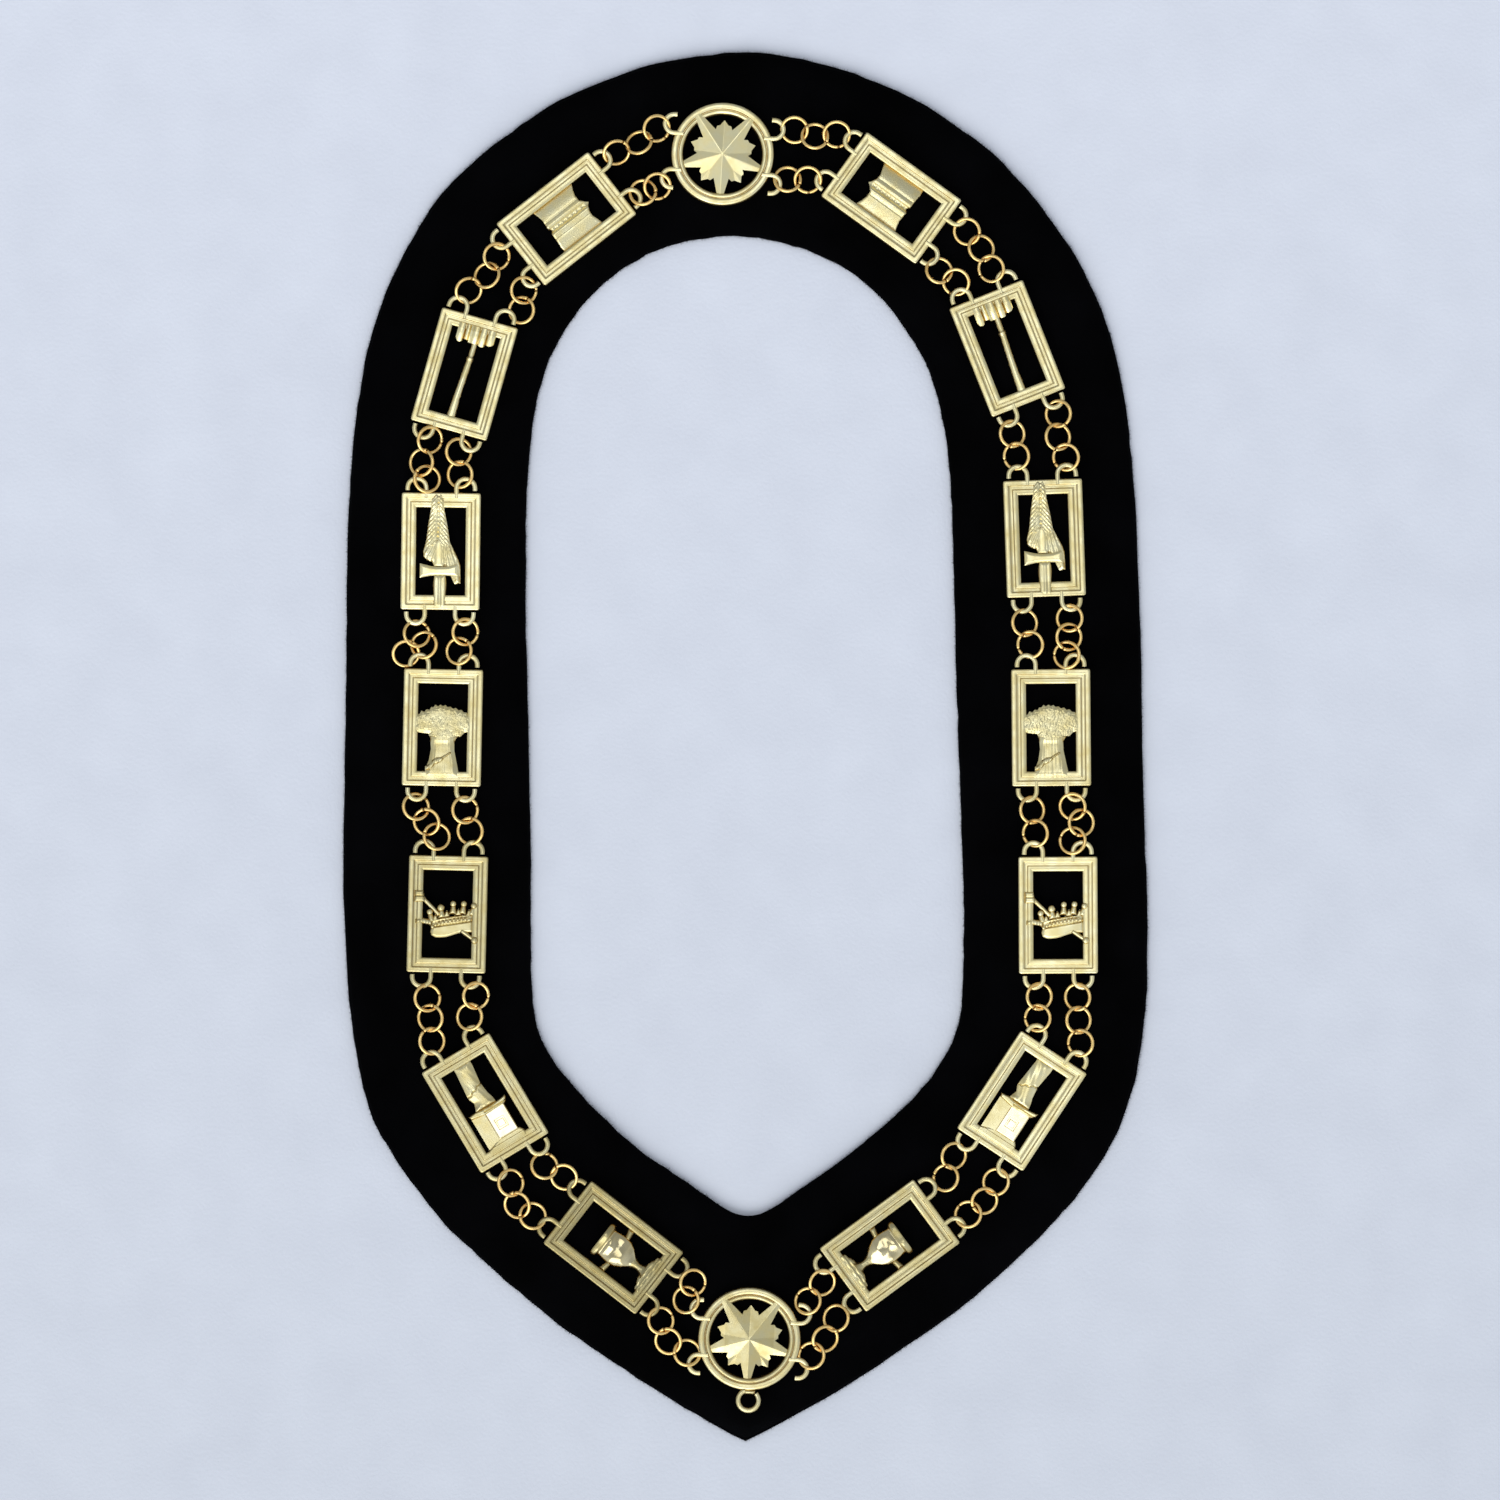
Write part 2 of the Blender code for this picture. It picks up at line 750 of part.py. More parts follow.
def strand_rings(start, end, count, bow):
    """Centre, line and lean of each ring in a strand between two eyes' centres."""
    way = (end - start).normalized()
    start = start + way * (EYE_WIDTH / 2)
    end = end - way * (EYE_WIDTH / 2)
    length = (end - start).length
    outward = Vector((-way.y, way.x, 0))
    if outward.dot((start + end) / 2) < 0:
        outward = -outward
    taut = RING_DIAMETER - RING_WIRE * (2 - RING_BITE)
    if count == 2:
        hold = (length - taut) / 2
    else:
        hold = max(min((length - OUTER_SPAN) / 2, MOST_HOLD), (length - 2 * taut) / 2)
    lean = threading_lean(hold)
    first = start + way * hold
    last = end - way * hold
    if count == 2:
        return [(first, way, lean), (last, way, -lean)]
    middle = (first + last) / 2 + outward * (bow * RING_DIAMETER)
    if length - EYE_WIRE_WIDTH < RING_DIAMETER + 2 * THREAD_GAP:
        middle.z += EYE_WIRE_DEPTH / 2 + RING_WIRE / 2 + THREAD_GAP
    touch = RING_WIRE * (1 - RING_BITE)
    steps = 40
    for step in range(steps + 1):
        middle_lean = -lean + 2 * lean * step / steps
        gaps = [ring_gap((middle, way, middle_lean), (place, way, lean)) for place in (first, last)]
        if max(gaps) <= touch:
            break
    return [(first, way, lean), (middle, way, middle_lean), (last, way, lean)]


def make_strands(material):
    """Two strands of rings between each link and the next, each strand fused into one body."""
    for i, link in enumerate(CHAIN_ROUTE):
        other = CHAIN_ROUTE[(i + 1) % len(CHAIN_ROUTE)]
        starts = facing_eyes(link, other)
        ends = facing_eyes(other, link)
        for k, side in enumerate(("outer", "inner")):
            count = OUTER_RINGS if side == "outer" else OUTER_RINGS - 1
            rings = strand_rings(starts[k], ends[k], count, link[5])
            mesh = fuse("rings", [ring_mesh(*ring) for ring in rings])
            add_object(f"rings_{side}_{link[0]}_to_{other[0]}", mesh, material)


def main():
    """Build the collar, its links and the strands between them."""
    clear_scene()
    velvet = make_material("black_velvet", VELVET_COLOUR, 0.0, 0.95)
    casting = make_material("gilt_casting", CASTING_COLOUR, 1.0, 0.32)
    wire = make_material("gilt_ring_wire", RING_COLOUR, 1.0, 0.25)
    make_velvet(velvet)
    make_links(casting)
    make_strands(wire)


main()
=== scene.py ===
import math
import random

import bmesh
import bpy
from mathutils import Matrix, Vector, noise


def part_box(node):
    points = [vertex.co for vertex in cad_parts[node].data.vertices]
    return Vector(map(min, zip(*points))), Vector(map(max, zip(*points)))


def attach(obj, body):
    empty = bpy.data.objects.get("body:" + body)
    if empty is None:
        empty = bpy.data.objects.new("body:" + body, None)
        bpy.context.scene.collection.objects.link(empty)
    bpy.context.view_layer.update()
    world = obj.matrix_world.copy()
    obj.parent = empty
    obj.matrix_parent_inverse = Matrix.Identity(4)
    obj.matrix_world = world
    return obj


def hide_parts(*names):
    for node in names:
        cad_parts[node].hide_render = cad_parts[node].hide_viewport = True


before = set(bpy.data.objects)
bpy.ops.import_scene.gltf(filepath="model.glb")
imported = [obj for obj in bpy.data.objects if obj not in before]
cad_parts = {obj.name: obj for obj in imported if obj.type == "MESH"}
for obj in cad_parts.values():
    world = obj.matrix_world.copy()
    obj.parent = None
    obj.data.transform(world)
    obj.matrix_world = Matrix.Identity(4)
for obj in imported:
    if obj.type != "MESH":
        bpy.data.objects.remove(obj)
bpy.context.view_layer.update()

# The table top, the lamps and the camera.
# The collar lies on a pale cloth-covered table and is seen from straight above.
# One large soft lamp stands low at the pointed end, another hangs over the middle.
PHOTO_SIDE = 0.4928
CAMERA_HEIGHT = 2.4
CAMERA_MIDDLE = (0.0016, -0.00115)
CHAIN_LEVEL = 0.005
# The cloth's near and far colours paint light and shade across it: darker at the front, lighter at the back.
CLOTH_PAINTED_SHADE_NEAR = (0.62, 0.65, 0.71)
CLOTH_PAINTED_LIGHT_FAR = (0.735, 0.765, 0.84)
CLOTH_PATCH_DARK = (0.93, 0.93, 0.935)
CLOTH_PATCH_LIGHT = (1.06, 1.06, 1.055)
ROOM_COLOUR = (0.86, 0.91, 1.0)
GLOW_IN_FRONT, GLOW_BEHIND = 1.0, 0.46
GLOW_AROUND, GLOW_ABOVE = 1.0, 0.70


def new_material(name):
    """An empty node material: its Principled shader, its nodes and its links."""
    material = bpy.data.materials.new(name)
    material.use_nodes = True
    nodes = material.node_tree.nodes
    return material, nodes["Principled BSDF"], nodes, material.node_tree.links


def noise_node(nodes, links, coords, scale, detail=3.0):
    """Plain noise that reads the given coordinates."""
    grain = nodes.new("ShaderNodeTexNoise")
    grain.inputs["Scale"].default_value = scale
    grain.inputs["Detail"].default_value = detail
    links.new(coords, grain.inputs["Vector"])
    return grain


def between(nodes, links, amount, low, high):
    """A mix of two colours by an amount from 0 to 1."""
    mix = nodes.new("ShaderNodeMix")
    mix.data_type = "RGBA"
    mix.inputs[6].default_value = (*low, 1)
    mix.inputs[7].default_value = (*high, 1)
    links.new(amount, mix.inputs[0])
    return mix.outputs[2]


def spread(nodes, links, value, from_low, from_high, to_low=0.0, to_high=1.0):
    """A value carried from one range to another, held at its ends."""
    scale = nodes.new("ShaderNodeMapRange")
    sockets = ("From Min", "From Max", "To Min", "To Max")
    for socket, number in zip(sockets, (from_low, from_high, to_low, to_high)):
        scale.inputs[socket].default_value = number
    links.new(value, scale.inputs["Value"])
    return scale.outputs["Result"]


def bumped(nodes, links, height, distance, strength, under=None):
    """A bump from a height, on top of another bump where one is given."""
    bump = nodes.new("ShaderNodeBump")
    bump.inputs["Distance"].default_value = distance
    bump.inputs["Strength"].default_value = strength
    links.new(height, bump.inputs["Height"])
    if under is not None:
        links.new(under, bump.inputs["Normal"])
    return bump.outputs["Normal"]


def put_in_scene(name, bm, materials):
    """A finished mesh as an object at the origin."""
    mesh = bpy.data.meshes.new(name)
    bm.to_mesh(mesh)
    bm.free()
    for material in materials:
        mesh.materials.append(material)
    piece = bpy.data.objects.new(name, mesh)
    bpy.context.scene.collection.objects.link(piece)
    return piece


table_cloth, shader, nodes, links = new_material("pale_table_cloth")
coords = nodes.new("ShaderNodeTexCoord").outputs["Object"]
place = nodes.new("ShaderNodeSeparateXYZ")
links.new(coords, place.inputs["Vector"])
# Painted light and shade on the cloth: its colour runs from darker at the front to lighter at the back.
away = spread(nodes, links, place.outputs["Y"], -0.3, 0.3)
painted_falloff = between(nodes, links, away, CLOTH_PAINTED_SHADE_NEAR, CLOTH_PAINTED_LIGHT_FAR)
soft_patches = noise_node(nodes, links, coords, 45.0, 4.0)
patches = nodes.new("ShaderNodeMix")
patches.data_type = "RGBA"
patches.blend_type = "MULTIPLY"
patches.inputs[0].default_value = 1.0
links.new(painted_falloff, patches.inputs[6])
patch_tone = between(nodes, links, soft_patches.outputs["Fac"], CLOTH_PATCH_DARK, CLOTH_PATCH_LIGHT)
links.new(patch_tone, patches.inputs[7])
links.new(patches.outputs[2], shader.inputs["Base Color"])
cloth_grain = noise_node(nodes, links, coords, 900.0)
links.new(bumped(nodes, links, cloth_grain.outputs["Fac"], 0.0004, 0.3), shader.inputs["Normal"])
shader.inputs["Roughness"].default_value = 0.95
shader.inputs["Specular IOR Level"].default_value = 0.1

table = bmesh.new()
bmesh.ops.create_grid(table, x_segments=2, y_segments=2, size=8, matrix=Matrix.Translation((0, 0, -0.0002)))
table = put_in_scene("table_top", table, [table_cloth])

world = bpy.data.worlds.new("pale_room")
world.use_nodes = True
sky = world.node_tree
sky.nodes["Background"].inputs["Color"].default_value = (*ROOM_COLOUR, 1)
toward = sky.nodes.new("ShaderNodeSeparateXYZ")
sky.links.new(sky.nodes.new("ShaderNodeTexCoord").outputs["Generated"], toward.inputs["Vector"])
glow = sky.nodes.new("ShaderNodeMath")
glow.operation = "MULTIPLY"
level_glow = spread(sky.nodes, sky.links, toward.outputs["Y"], -0.75, 0.75, GLOW_IN_FRONT, GLOW_BEHIND)
high_glow = spread(sky.nodes, sky.links, toward.outputs["Z"], 0.65, 1.0, GLOW_AROUND, GLOW_ABOVE)
sky.links.new(level_glow, glow.inputs[0])
sky.links.new(high_glow, glow.inputs[1])
sky.links.new(glow.outputs["Value"], sky.nodes["Background"].inputs["Strength"])
bpy.context.scene.world = world


def soft_lamp(name, place, aim, size, watts, colour):
    """A large square lamp turned towards a point."""
    lamp = bpy.data.lights.new(name, "AREA")
    lamp.size = size
    lamp.energy = watts
    lamp.color = colour
    holder = bpy.data.objects.new(name, lamp)
    holder.location = place
    holder.rotation_euler = (Vector(aim) - Vector(place)).to_track_quat("-Z", "Y").to_euler()
    bpy.context.scene.collection.objects.link(holder)


soft_lamp("low_front_lamp", (-0.7, -2.4, 2.4), (0, 0, 0), 2.6, 54, (1.0, 0.985, 0.95))
soft_lamp("overhead_lamp", (-0.2, 0.5, 3.0), (0, 0, 0), 1.6, 13, (0.97, 0.985, 1.0))

camera = bpy.data.cameras.new("overhead_camera")
camera.sensor_width = 36
camera.lens = camera.sensor_width * (CAMERA_HEIGHT - CHAIN_LEVEL) / PHOTO_SIDE
camera.clip_end = 20
camera_holder = bpy.data.objects.new("overhead_camera", camera)
camera_holder.location = (*CAMERA_MIDDLE, CAMERA_HEIGHT)
bpy.context.scene.collection.objects.link(camera_holder)
bpy.context.scene.camera = camera_holder
bpy.context.scene.view_settings.view_transform = "Standard"

# The velvet collar.
# A stiffened band of black cotton velvet, cut by hand in one piece and closed all round the neck.
# Its cut edges stay raw, and their pile shows as a fine fuzz against the table.
VELVET_FINENESS = 3
EDGE_WANDER = 0.00045
WANDER_SEED = 7
BROAD_WANDER, FINE_WANDER = 210, 700
PILE_RIPPLE = 0.00008
PILE_LEVEL = 0.0016
POINT_SHARPNESS = 0.92
CUT_SHARPNESS = 0.3
POINT_REACH = 0.003
FACE_CLEARANCE = 0.0005
RIM_FOLD = math.radians(25)
RIM_ROW = 0.00007
FITTING_ROUNDS = 4
NAP_DARK = (0.0004, 0.0004, 0.0005)
NAP_LIGHT = (0.0012, 0.0012, 0.0016)

black_velvet, shader, nodes, links = new_material("black_velvet")
coords = nodes.new("ShaderNodeTexCoord").outputs["Object"]
nap = noise_node(nodes, links, coords, 38.0, 5.0)
nap_mask = spread(nodes, links, nap.outputs["Fac"], 0.35, 0.7)
links.new(between(nodes, links, nap_mask, NAP_DARK, NAP_LIGHT), shader.inputs["Base Color"])
pile = noise_node(nodes, links, coords, 2600.0, 4.0)
brushed = noise_node(nodes, links, coords, 160.0, 3.0)
pile_bump = bumped(nodes, links, pile.outputs["Fac"], 0.00025, 0.7)
links.new(bumped(nodes, links, brushed.outputs["Fac"], 0.0006, 0.35, pile_bump), shader.inputs["Normal"])
links.new(spread(nodes, links, pile.outputs["Fac"], 0.3, 0.7, 0.85, 1.0), shader.inputs["Roughness"])
shader.inputs["Specular IOR Level"].default_value = 0.02
shader.inputs["Sheen Weight"].default_value = 0.008
shader.inputs["Sheen Roughness"].default_value = 0.45
shader.inputs["Sheen Tint"].default_value = (0.70, 0.76, 0.90, 1)


def evaluated_mesh(piece):
    """A new mesh of the piece with its modifiers applied."""
    return bpy.data.meshes.new_from_object(piece.evaluated_get(bpy.context.evaluated_depsgraph_get()))


cut = bmesh.new()
cut.from_mesh(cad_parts["velvet_collar"].data)
bmesh.ops.remove_doubles(cut, verts=cut.verts, dist=0.00001)
bmesh.ops.join_triangles(cut, faces=cut.faces[:], angle_face_threshold=0.7, angle_shape_threshold=1.5)
corner = cut.verts.layers.float.new("crease_vert")
fold = cut.edges.layers.float.new("crease_edge")
for vert in cut.verts:
    at_point = abs(vert.co.x) < POINT_REACH and vert.co.y < 0
    vert[corner] = POINT_SHARPNESS if at_point else CUT_SHARPNESS
half_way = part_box("velvet_collar")[1].z / 2
for edge in cut.edges:
    on_flat = all(abs(v.co.z - half_way) > FACE_CLEARANCE for v in edge.verts)
    if on_flat and edge.calc_face_angle(0) > RIM_FOLD:
        edge[fold] = 1.0
blank = put_in_scene("velvet_blank", cut, [black_velvet])
cut_points = [vert.co.copy() for vert in blank.data.vertices]
softened = blank.modifiers.new("softened", "SUBSURF")
softened.levels = softened.render_levels = VELVET_FINENESS
for _ in range(FITTING_ROUNDS):
    smooth_mesh = evaluated_mesh(blank)
    for vert, aim, soft in zip(blank.data.vertices, cut_points, smooth_mesh.vertices):
        vert.co.xy += aim.xy - soft.co.xy
    bpy.data.meshes.remove(smooth_mesh)
    blank.data.update()
    blank.data.update_tag()
    bpy.context.view_layer.update()
smooth_mesh = evaluated_mesh(blank)
bpy.data.objects.remove(blank)

# Unseeded, Blender draws this noise from the clock, and the edge would differ from run to run.
noise.seed_set(WANDER_SEED)
band = bmesh.new()
band.from_mesh(smooth_mesh)
bpy.data.meshes.remove(smooth_mesh)
for vert in band.verts:
    here = vert.co.copy()
    wander = noise.noise_vector(here * BROAD_WANDER) * 0.65 + noise.noise_vector(here * FINE_WANDER) * 0.35
    vert.co.x += wander.x * EDGE_WANDER
    vert.co.y += wander.y * EDGE_WANDER
    if here.z > PILE_LEVEL:
        vert.co.z += PILE_RIPPLE * (noise.noise(here * 90) - 0.6)
for face in band.faces:
    face.smooth = True

# The fuzz: one short tapered hair of three sides, set out many times round both edges.
HAIR_LENGTH = 0.0011
HAIR_THICKNESS = 0.00009
HAIR_SPACING = 0.00011
HAIR_ROOT_DEPTH = 0.0003
HAIR_ROOT_SPREAD = 0.0009
FUZZ_DARK = (0.004, 0.004, 0.006)
FUZZ_LIGHT = (0.020, 0.021, 0.028)
dice = random.Random(7)
hair = bmesh.new()
bmesh.ops.create_cone(
    hair, cap_ends=True, segments=3, radius1=HAIR_THICKNESS / 2, radius2=HAIR_THICKNESS / 8, depth=1.0
)
bmesh.ops.translate(hair, verts=hair.verts, vec=(0, 0, 0.5))
hair_mesh = bpy.data.meshes.new("hair")
hair.to_mesh(hair_mesh)
hair.free()
fuzz = bmesh.new()
rim_edges = [e for e in band.edges if all(abs(v.co.z - half_way) < RIM_ROW for v in e.verts)]
for edge in rim_edges:
    start, end = (v.co.copy() for v in edge.verts)
    outward = sum((f.normal for f in edge.link_faces), Vector())
    outward.z = 0
    outward.normalize()
    for k in range(max(1, round((end - start).length / HAIR_SPACING))):
        root = start.lerp(end, dice.random())
        root.z += dice.uniform(-HAIR_ROOT_SPREAD, HAIR_ROOT_SPREAD)
        lean = (outward + Vector((dice.gauss(0, 0.5), dice.gauss(0, 0.5), dice.gauss(0, 0.35)))).normalized()
        length = HAIR_LENGTH * dice.uniform(0.35, 1.0)
        turn = lean.to_track_quat("Z", "X").to_matrix().to_4x4()
        one = hair_mesh.copy()
        seat = Matrix.Translation(root - outward * HAIR_ROOT_DEPTH)
        one.transform(seat @ turn @ Matrix.Diagonal((1, 1, length, 1)))
        fuzz.from_mesh(one)
        bpy.data.meshes.remove(one)
bpy.data.meshes.remove(hair_mesh)

velvet = put_in_scene("velvet_band", band, [black_velvet])
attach(velvet, "root")
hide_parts("velvet_collar")

raw_edge, shader, nodes, links = new_material("velvet_edge_fuzz")
coords = nodes.new("ShaderNodeTexCoord").outputs["Object"]
stray = noise_node(nodes, links, coords, 700.0)
links.new(between(nodes, links, stray.outputs["Fac"], FUZZ_DARK, FUZZ_LIGHT), shader.inputs["Base Color"])
shader.inputs["Roughness"].default_value = 1.0
shader.inputs["Specular IOR Level"].default_value = 0.05
velvet_fuzz = put_in_scene("velvet_edge_fuzz", fuzz, [raw_edge])
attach(velvet_fuzz, "root")

# What all the castings share: the gilt, the moulded frames and the eyes.
# Each link is one casting, gilded to a pale satin gold, with its eyes cast on and bent over.
# It lies on the velvet by its back, and its emblem stands in the opening like a pierced relief.
LIE_HEIGHT = 0.0033
CASTING_THICKNESS = 0.0032
UNIT = 0.0003285
RELIEF_CELL = 0.55
RELIEF_FOOT = 0.0004
PATINA_DULLS = 0.12

gilt = bpy.data.node_groups.new("gilt_surface", "ShaderNodeTree")
gilt.interface.new_socket("Vector", in_out="INPUT", socket_type="NodeSocketVector")
for socket in ("PaintedShade", "Patina", "Grain", "Dents"):
    gilt.interface.new_socket(socket, in_out="OUTPUT", socket_type="NodeSocketFloat")
group_in = gilt.nodes.new("NodeGroupInput")
group_out = gilt.nodes.new("NodeGroupOutput")
# Painted shade: the gilt is darkened towards a deep gold where it lies low in the casting and where its faces
# turn steeply away from above.
painted_shade = gilt.nodes.new("ShaderNodeMath")
painted_shade.operation = "MAXIMUM"
facing = gilt.nodes.new("ShaderNodeSeparateXYZ")
gilt.links.new(gilt.nodes.new("ShaderNodeNewGeometry").outputs["Normal"], facing.inputs["Vector"])
gilt.links.new(spread(gilt.nodes, gilt.links, facing.outputs["Z"], 0.82, 0.2, 0.0, 0.8), painted_shade.inputs[1])
gilt.links.new(painted_shade.outputs["Value"], group_out.inputs["PaintedShade"])
split = gilt.nodes.new("ShaderNodeSeparateXYZ")
gilt.links.new(group_in.outputs["Vector"], split.inputs["Vector"])
gilt.links.new(spread(gilt.nodes, gilt.links, split.outputs["Z"], 0.0047, 0.0035), painted_shade.inputs[0])
patina = noise_node(gilt.nodes, gilt.links, group_in.outputs["Vector"], 260.0, 4.0)
gilt.links.new(spread(gilt.nodes, gilt.links, patina.outputs["Fac"], 0.35, 0.68), group_out.inputs["Patina"])
grain = noise_node(gilt.nodes, gilt.links, group_in.outputs["Vector"], 3600.0, 2.0)
gilt.links.new(grain.outputs["Fac"], group_out.inputs["Grain"])
dents = noise_node(gilt.nodes, gilt.links, group_in.outputs["Vector"], 620.0, 2.0)
gilt.links.new(dents.outputs["Fac"], group_out.inputs["Dents"])


def gilt_material(name, bright, warm, painted_shade_gold, polish, dent_depth):
    """Gilt metal: pale where it stands high, warmer in patches, and darkened to a deep gold as painted shade
    down in the recesses and on steep sides.
    """
    material, shader, nodes, links = new_material(name)
    surface = nodes.new("ShaderNodeGroup")
    surface.node_tree = gilt
    links.new(nodes.new("ShaderNodeTexCoord").outputs["Object"], surface.inputs["Vector"])
    tone = nodes.new("ShaderNodeAttribute")
    tone.attribute_name = "tone"
    face = nodes.new("ShaderNodeMix")
    face.data_type = "RGBA"
    face.blend_type = "MULTIPLY"
    face.inputs[0].default_value = 1.0
    links.new(between(nodes, links, surface.outputs["Patina"], bright, warm), face.inputs[6])
    links.new(tone.outputs["Color"], face.inputs[7])
    # The painted shade mixes the gilt towards its deep gold.
    colour = nodes.new("ShaderNodeMix")
    colour.data_type = "RGBA"
    colour.inputs[7].default_value = (*painted_shade_gold, 1)
    links.new(surface.outputs["PaintedShade"], colour.inputs[0])
    links.new(face.outputs[2], colour.inputs[6])
    links.new(colour.outputs[2], shader.inputs["Base Color"])
    satin = spread(nodes, links, surface.outputs["Patina"], 0.0, 1.0, polish, polish + PATINA_DULLS)
    links.new(satin, shader.inputs["Roughness"])
    fine = bumped(nodes, links, surface.outputs["Grain"], 0.00003, 0.3)
    links.new(bumped(nodes, links, surface.outputs["Dents"], dent_depth, 0.5, fine), shader.inputs["Normal"])
    shader.inputs["Metallic"].default_value = 1.0
    return material


# Each gilt's deep gold is the colour of its painted shade in the recesses and on steep sides.
gilt_casting = gilt_material(
    "gilt_casting", bright=(0.755, 0.69, 0.41), warm=(0.705, 0.60, 0.285), painted_shade_gold=(0.53, 0.33, 0.09),
    polish=0.30, dent_depth=0.00002,
)
# The polished gilt is smoother, and its paler, brighter gold is painted light.
gilt_polished_and_lit = gilt_material(
    "gilt_polished_and_lit", bright=(0.95, 0.86, 0.58), warm=(0.90, 0.78, 0.45), painted_shade_gold=(0.52, 0.33, 0.10),
    polish=0.10, dent_depth=0.000008,
)

FRAME_LENGTH = 0.0385
FRAME_WIDTH = 0.0260
FRAME_BAR = 0.0049
FRAME_CORNER = 0.0007
FRAME_MOULDING = [
    # inset as a share of the bar, height as a share of the thickness
    (0.0, 0.86), (0.02, 0.94), (0.06, 0.985), (0.12, 1.0), (0.29, 1.0), (0.335, 0.98), (0.355, 0.94),
    (0.38, 0.77), (0.42, 0.74), (0.56, 0.74), (0.60, 0.76), (0.62, 0.88), (0.65, 0.92), (0.70, 0.93),
    (0.84, 0.90), (0.94, 0.87), (0.98, 0.82), (1.0, 0.74),
]


def moulded_frame(casting):
    """The rectangular frame: a rounded rectangle for each step of the moulding, joined from foot to foot."""
    plate = bmesh.new()
    rims = []
    for inset, height in [(0.0, 0.0), *FRAME_MOULDING, (1.0, 0.0)]:
        before = set(plate.edges)
        shrink = 2 * inset * FRAME_BAR
        sides = Matrix.Diagonal((FRAME_WIDTH - shrink, FRAME_LENGTH - shrink, 1, 1))
        place = Matrix.Translation((0, 0, height * CASTING_THICKNESS)) @ sides
        corners = bmesh.ops.create_grid(plate, x_segments=1, y_segments=1, size=0.5, matrix=place)["verts"]
        round_off = max(FRAME_CORNER * (1 - 1.6 * inset), 0.00015)
        bmesh.ops.bevel(
            plate, geom=corners, offset=round_off, segments=3, profile=0.5, affect="VERTICES", material=-1
        )
        filled = [f for f in plate.faces if not rims or len(f.verts) > 4]
        bmesh.ops.delete(plate, geom=filled, context="FACES_ONLY")
        rims.append([e for e in plate.edges if e not in before])
    for rim, following in zip(rims, rims[1:] + rims[:1]):
        bmesh.ops.bridge_loops(plate, edges=rim + following)
    join(casting, plate)


def join(casting, part):
    """Adds a closed part to a casting and faces it outwards."""
    bmesh.ops.remove_doubles(part, verts=part.verts, dist=0.000002)
    bmesh.ops.recalc_face_normals(part, faces=part.faces)
    carried = bpy.data.meshes.new("part")
    part.to_mesh(carried)
    part.free()
    casting.from_mesh(carried)
    bpy.data.meshes.remove(carried)


UPRIGHT = Matrix.Rotation(math.radians(90), 4, "X")
EYE_WIDTH = 0.0077
EYE_REACH = 0.0054
EYE_WIRE_WIDTH = 0.00165
EYE_WIRE_DEPTH = 0.0012
EYE_HEIGHT = 0.0027
EYE_SLOT = 0.0007
FRAME_EYE_OFFSET = 0.0080


def drawn_out(wire, end, length):
    """Draws a wire's end face out along Y, and gives the new end face."""
    tip = bmesh.ops.extrude_face_region(wire, geom=end)["geom"]
    bmesh.ops.translate(wire, verts=[v for v in tip if isinstance(v, bmesh.types.BMVert)], vec=(0, length, 0))
    return [f for f in tip if isinstance(f, bmesh.types.BMFace)]


def bent_eye(casting, place):
    """An eye: a wire that rises from the frame, turns over in a half circle and stops just short of it."""
    wire = bmesh.new()
    half = (EYE_WIDTH - EYE_WIRE_WIDTH) / 2
    crown = EYE_REACH - EYE_WIRE_WIDTH / 2 - half
    start = Matrix.Translation((-half, -EYE_WIRE_WIDTH, EYE_HEIGHT)) @ UPRIGHT
    section = Matrix.Diagonal((EYE_WIRE_WIDTH / 2, EYE_WIRE_DEPTH / 2, 1, 1))
    bmesh.ops.create_circle(wire, cap_ends=True, segments=12, radius=1, matrix=start @ section)
    end = drawn_out(wire, wire.faces[:], crown + EYE_WIRE_WIDTH)
    bent = bmesh.ops.spin(
        wire, geom=end, cent=(0, crown, EYE_HEIGHT), axis=(0, 0, -1), angle=math.pi, steps=14,
        use_merge=False, use_duplicate=False,
    )
    drawn_out(wire, [f for f in bent["geom_last"] if isinstance(f, bmesh.types.BMFace)], EYE_SLOT - crown)
    bmesh.ops.transform(wire, matrix=place, verts=wire.verts)
    join(casting, wire)


def frame_eyes(casting, offset, base, quarter):
    """The four eyes of a link, two at each end."""
    for end_turn in (0.0, math.pi):
        for side in (1, -1):
            seat = Matrix.Translation((side * offset, base, 0)) @ Matrix.Diagonal((side, 1, 1, 1))
            bent_eye(casting, Matrix.Rotation(end_turn + quarter, 4, "Z") @ seat)


def framed_link():
    """A new rectangular link: the frame with its four eyes, still open in the middle."""
    casting = bmesh.new()
    moulded_frame(casting)
    frame_eyes(casting, FRAME_EYE_OFFSET, FRAME_LENGTH / 2, 0.0)
    return casting


def depth_inside(outline, u, v):
    """How far a point lies inside an outline, below nought outside it, and the outline's nearest point."""
    nearest, best, inside = None, 1e9, False
    bu, bv = outline[-1]
    for au, av in outline:
        eu, ev = au - bu, av - bv
        share = max(0.0, min(1.0, ((u - bu) * eu + (v - bv) * ev) / (eu * eu + ev * ev)))
        pu, pv = bu + eu * share, bv + ev * share
        far = (pu - u) ** 2 + (pv - v) ** 2
        if far < best:
            nearest, best = (pu, pv), far
        if (bv > v) != (av > v) and u < (bu - au) * (v - av) / (bv - av) + au:
            inside = not inside
        bu, bv = au, av
    return (math.sqrt(best) if inside else -math.sqrt(best)), nearest


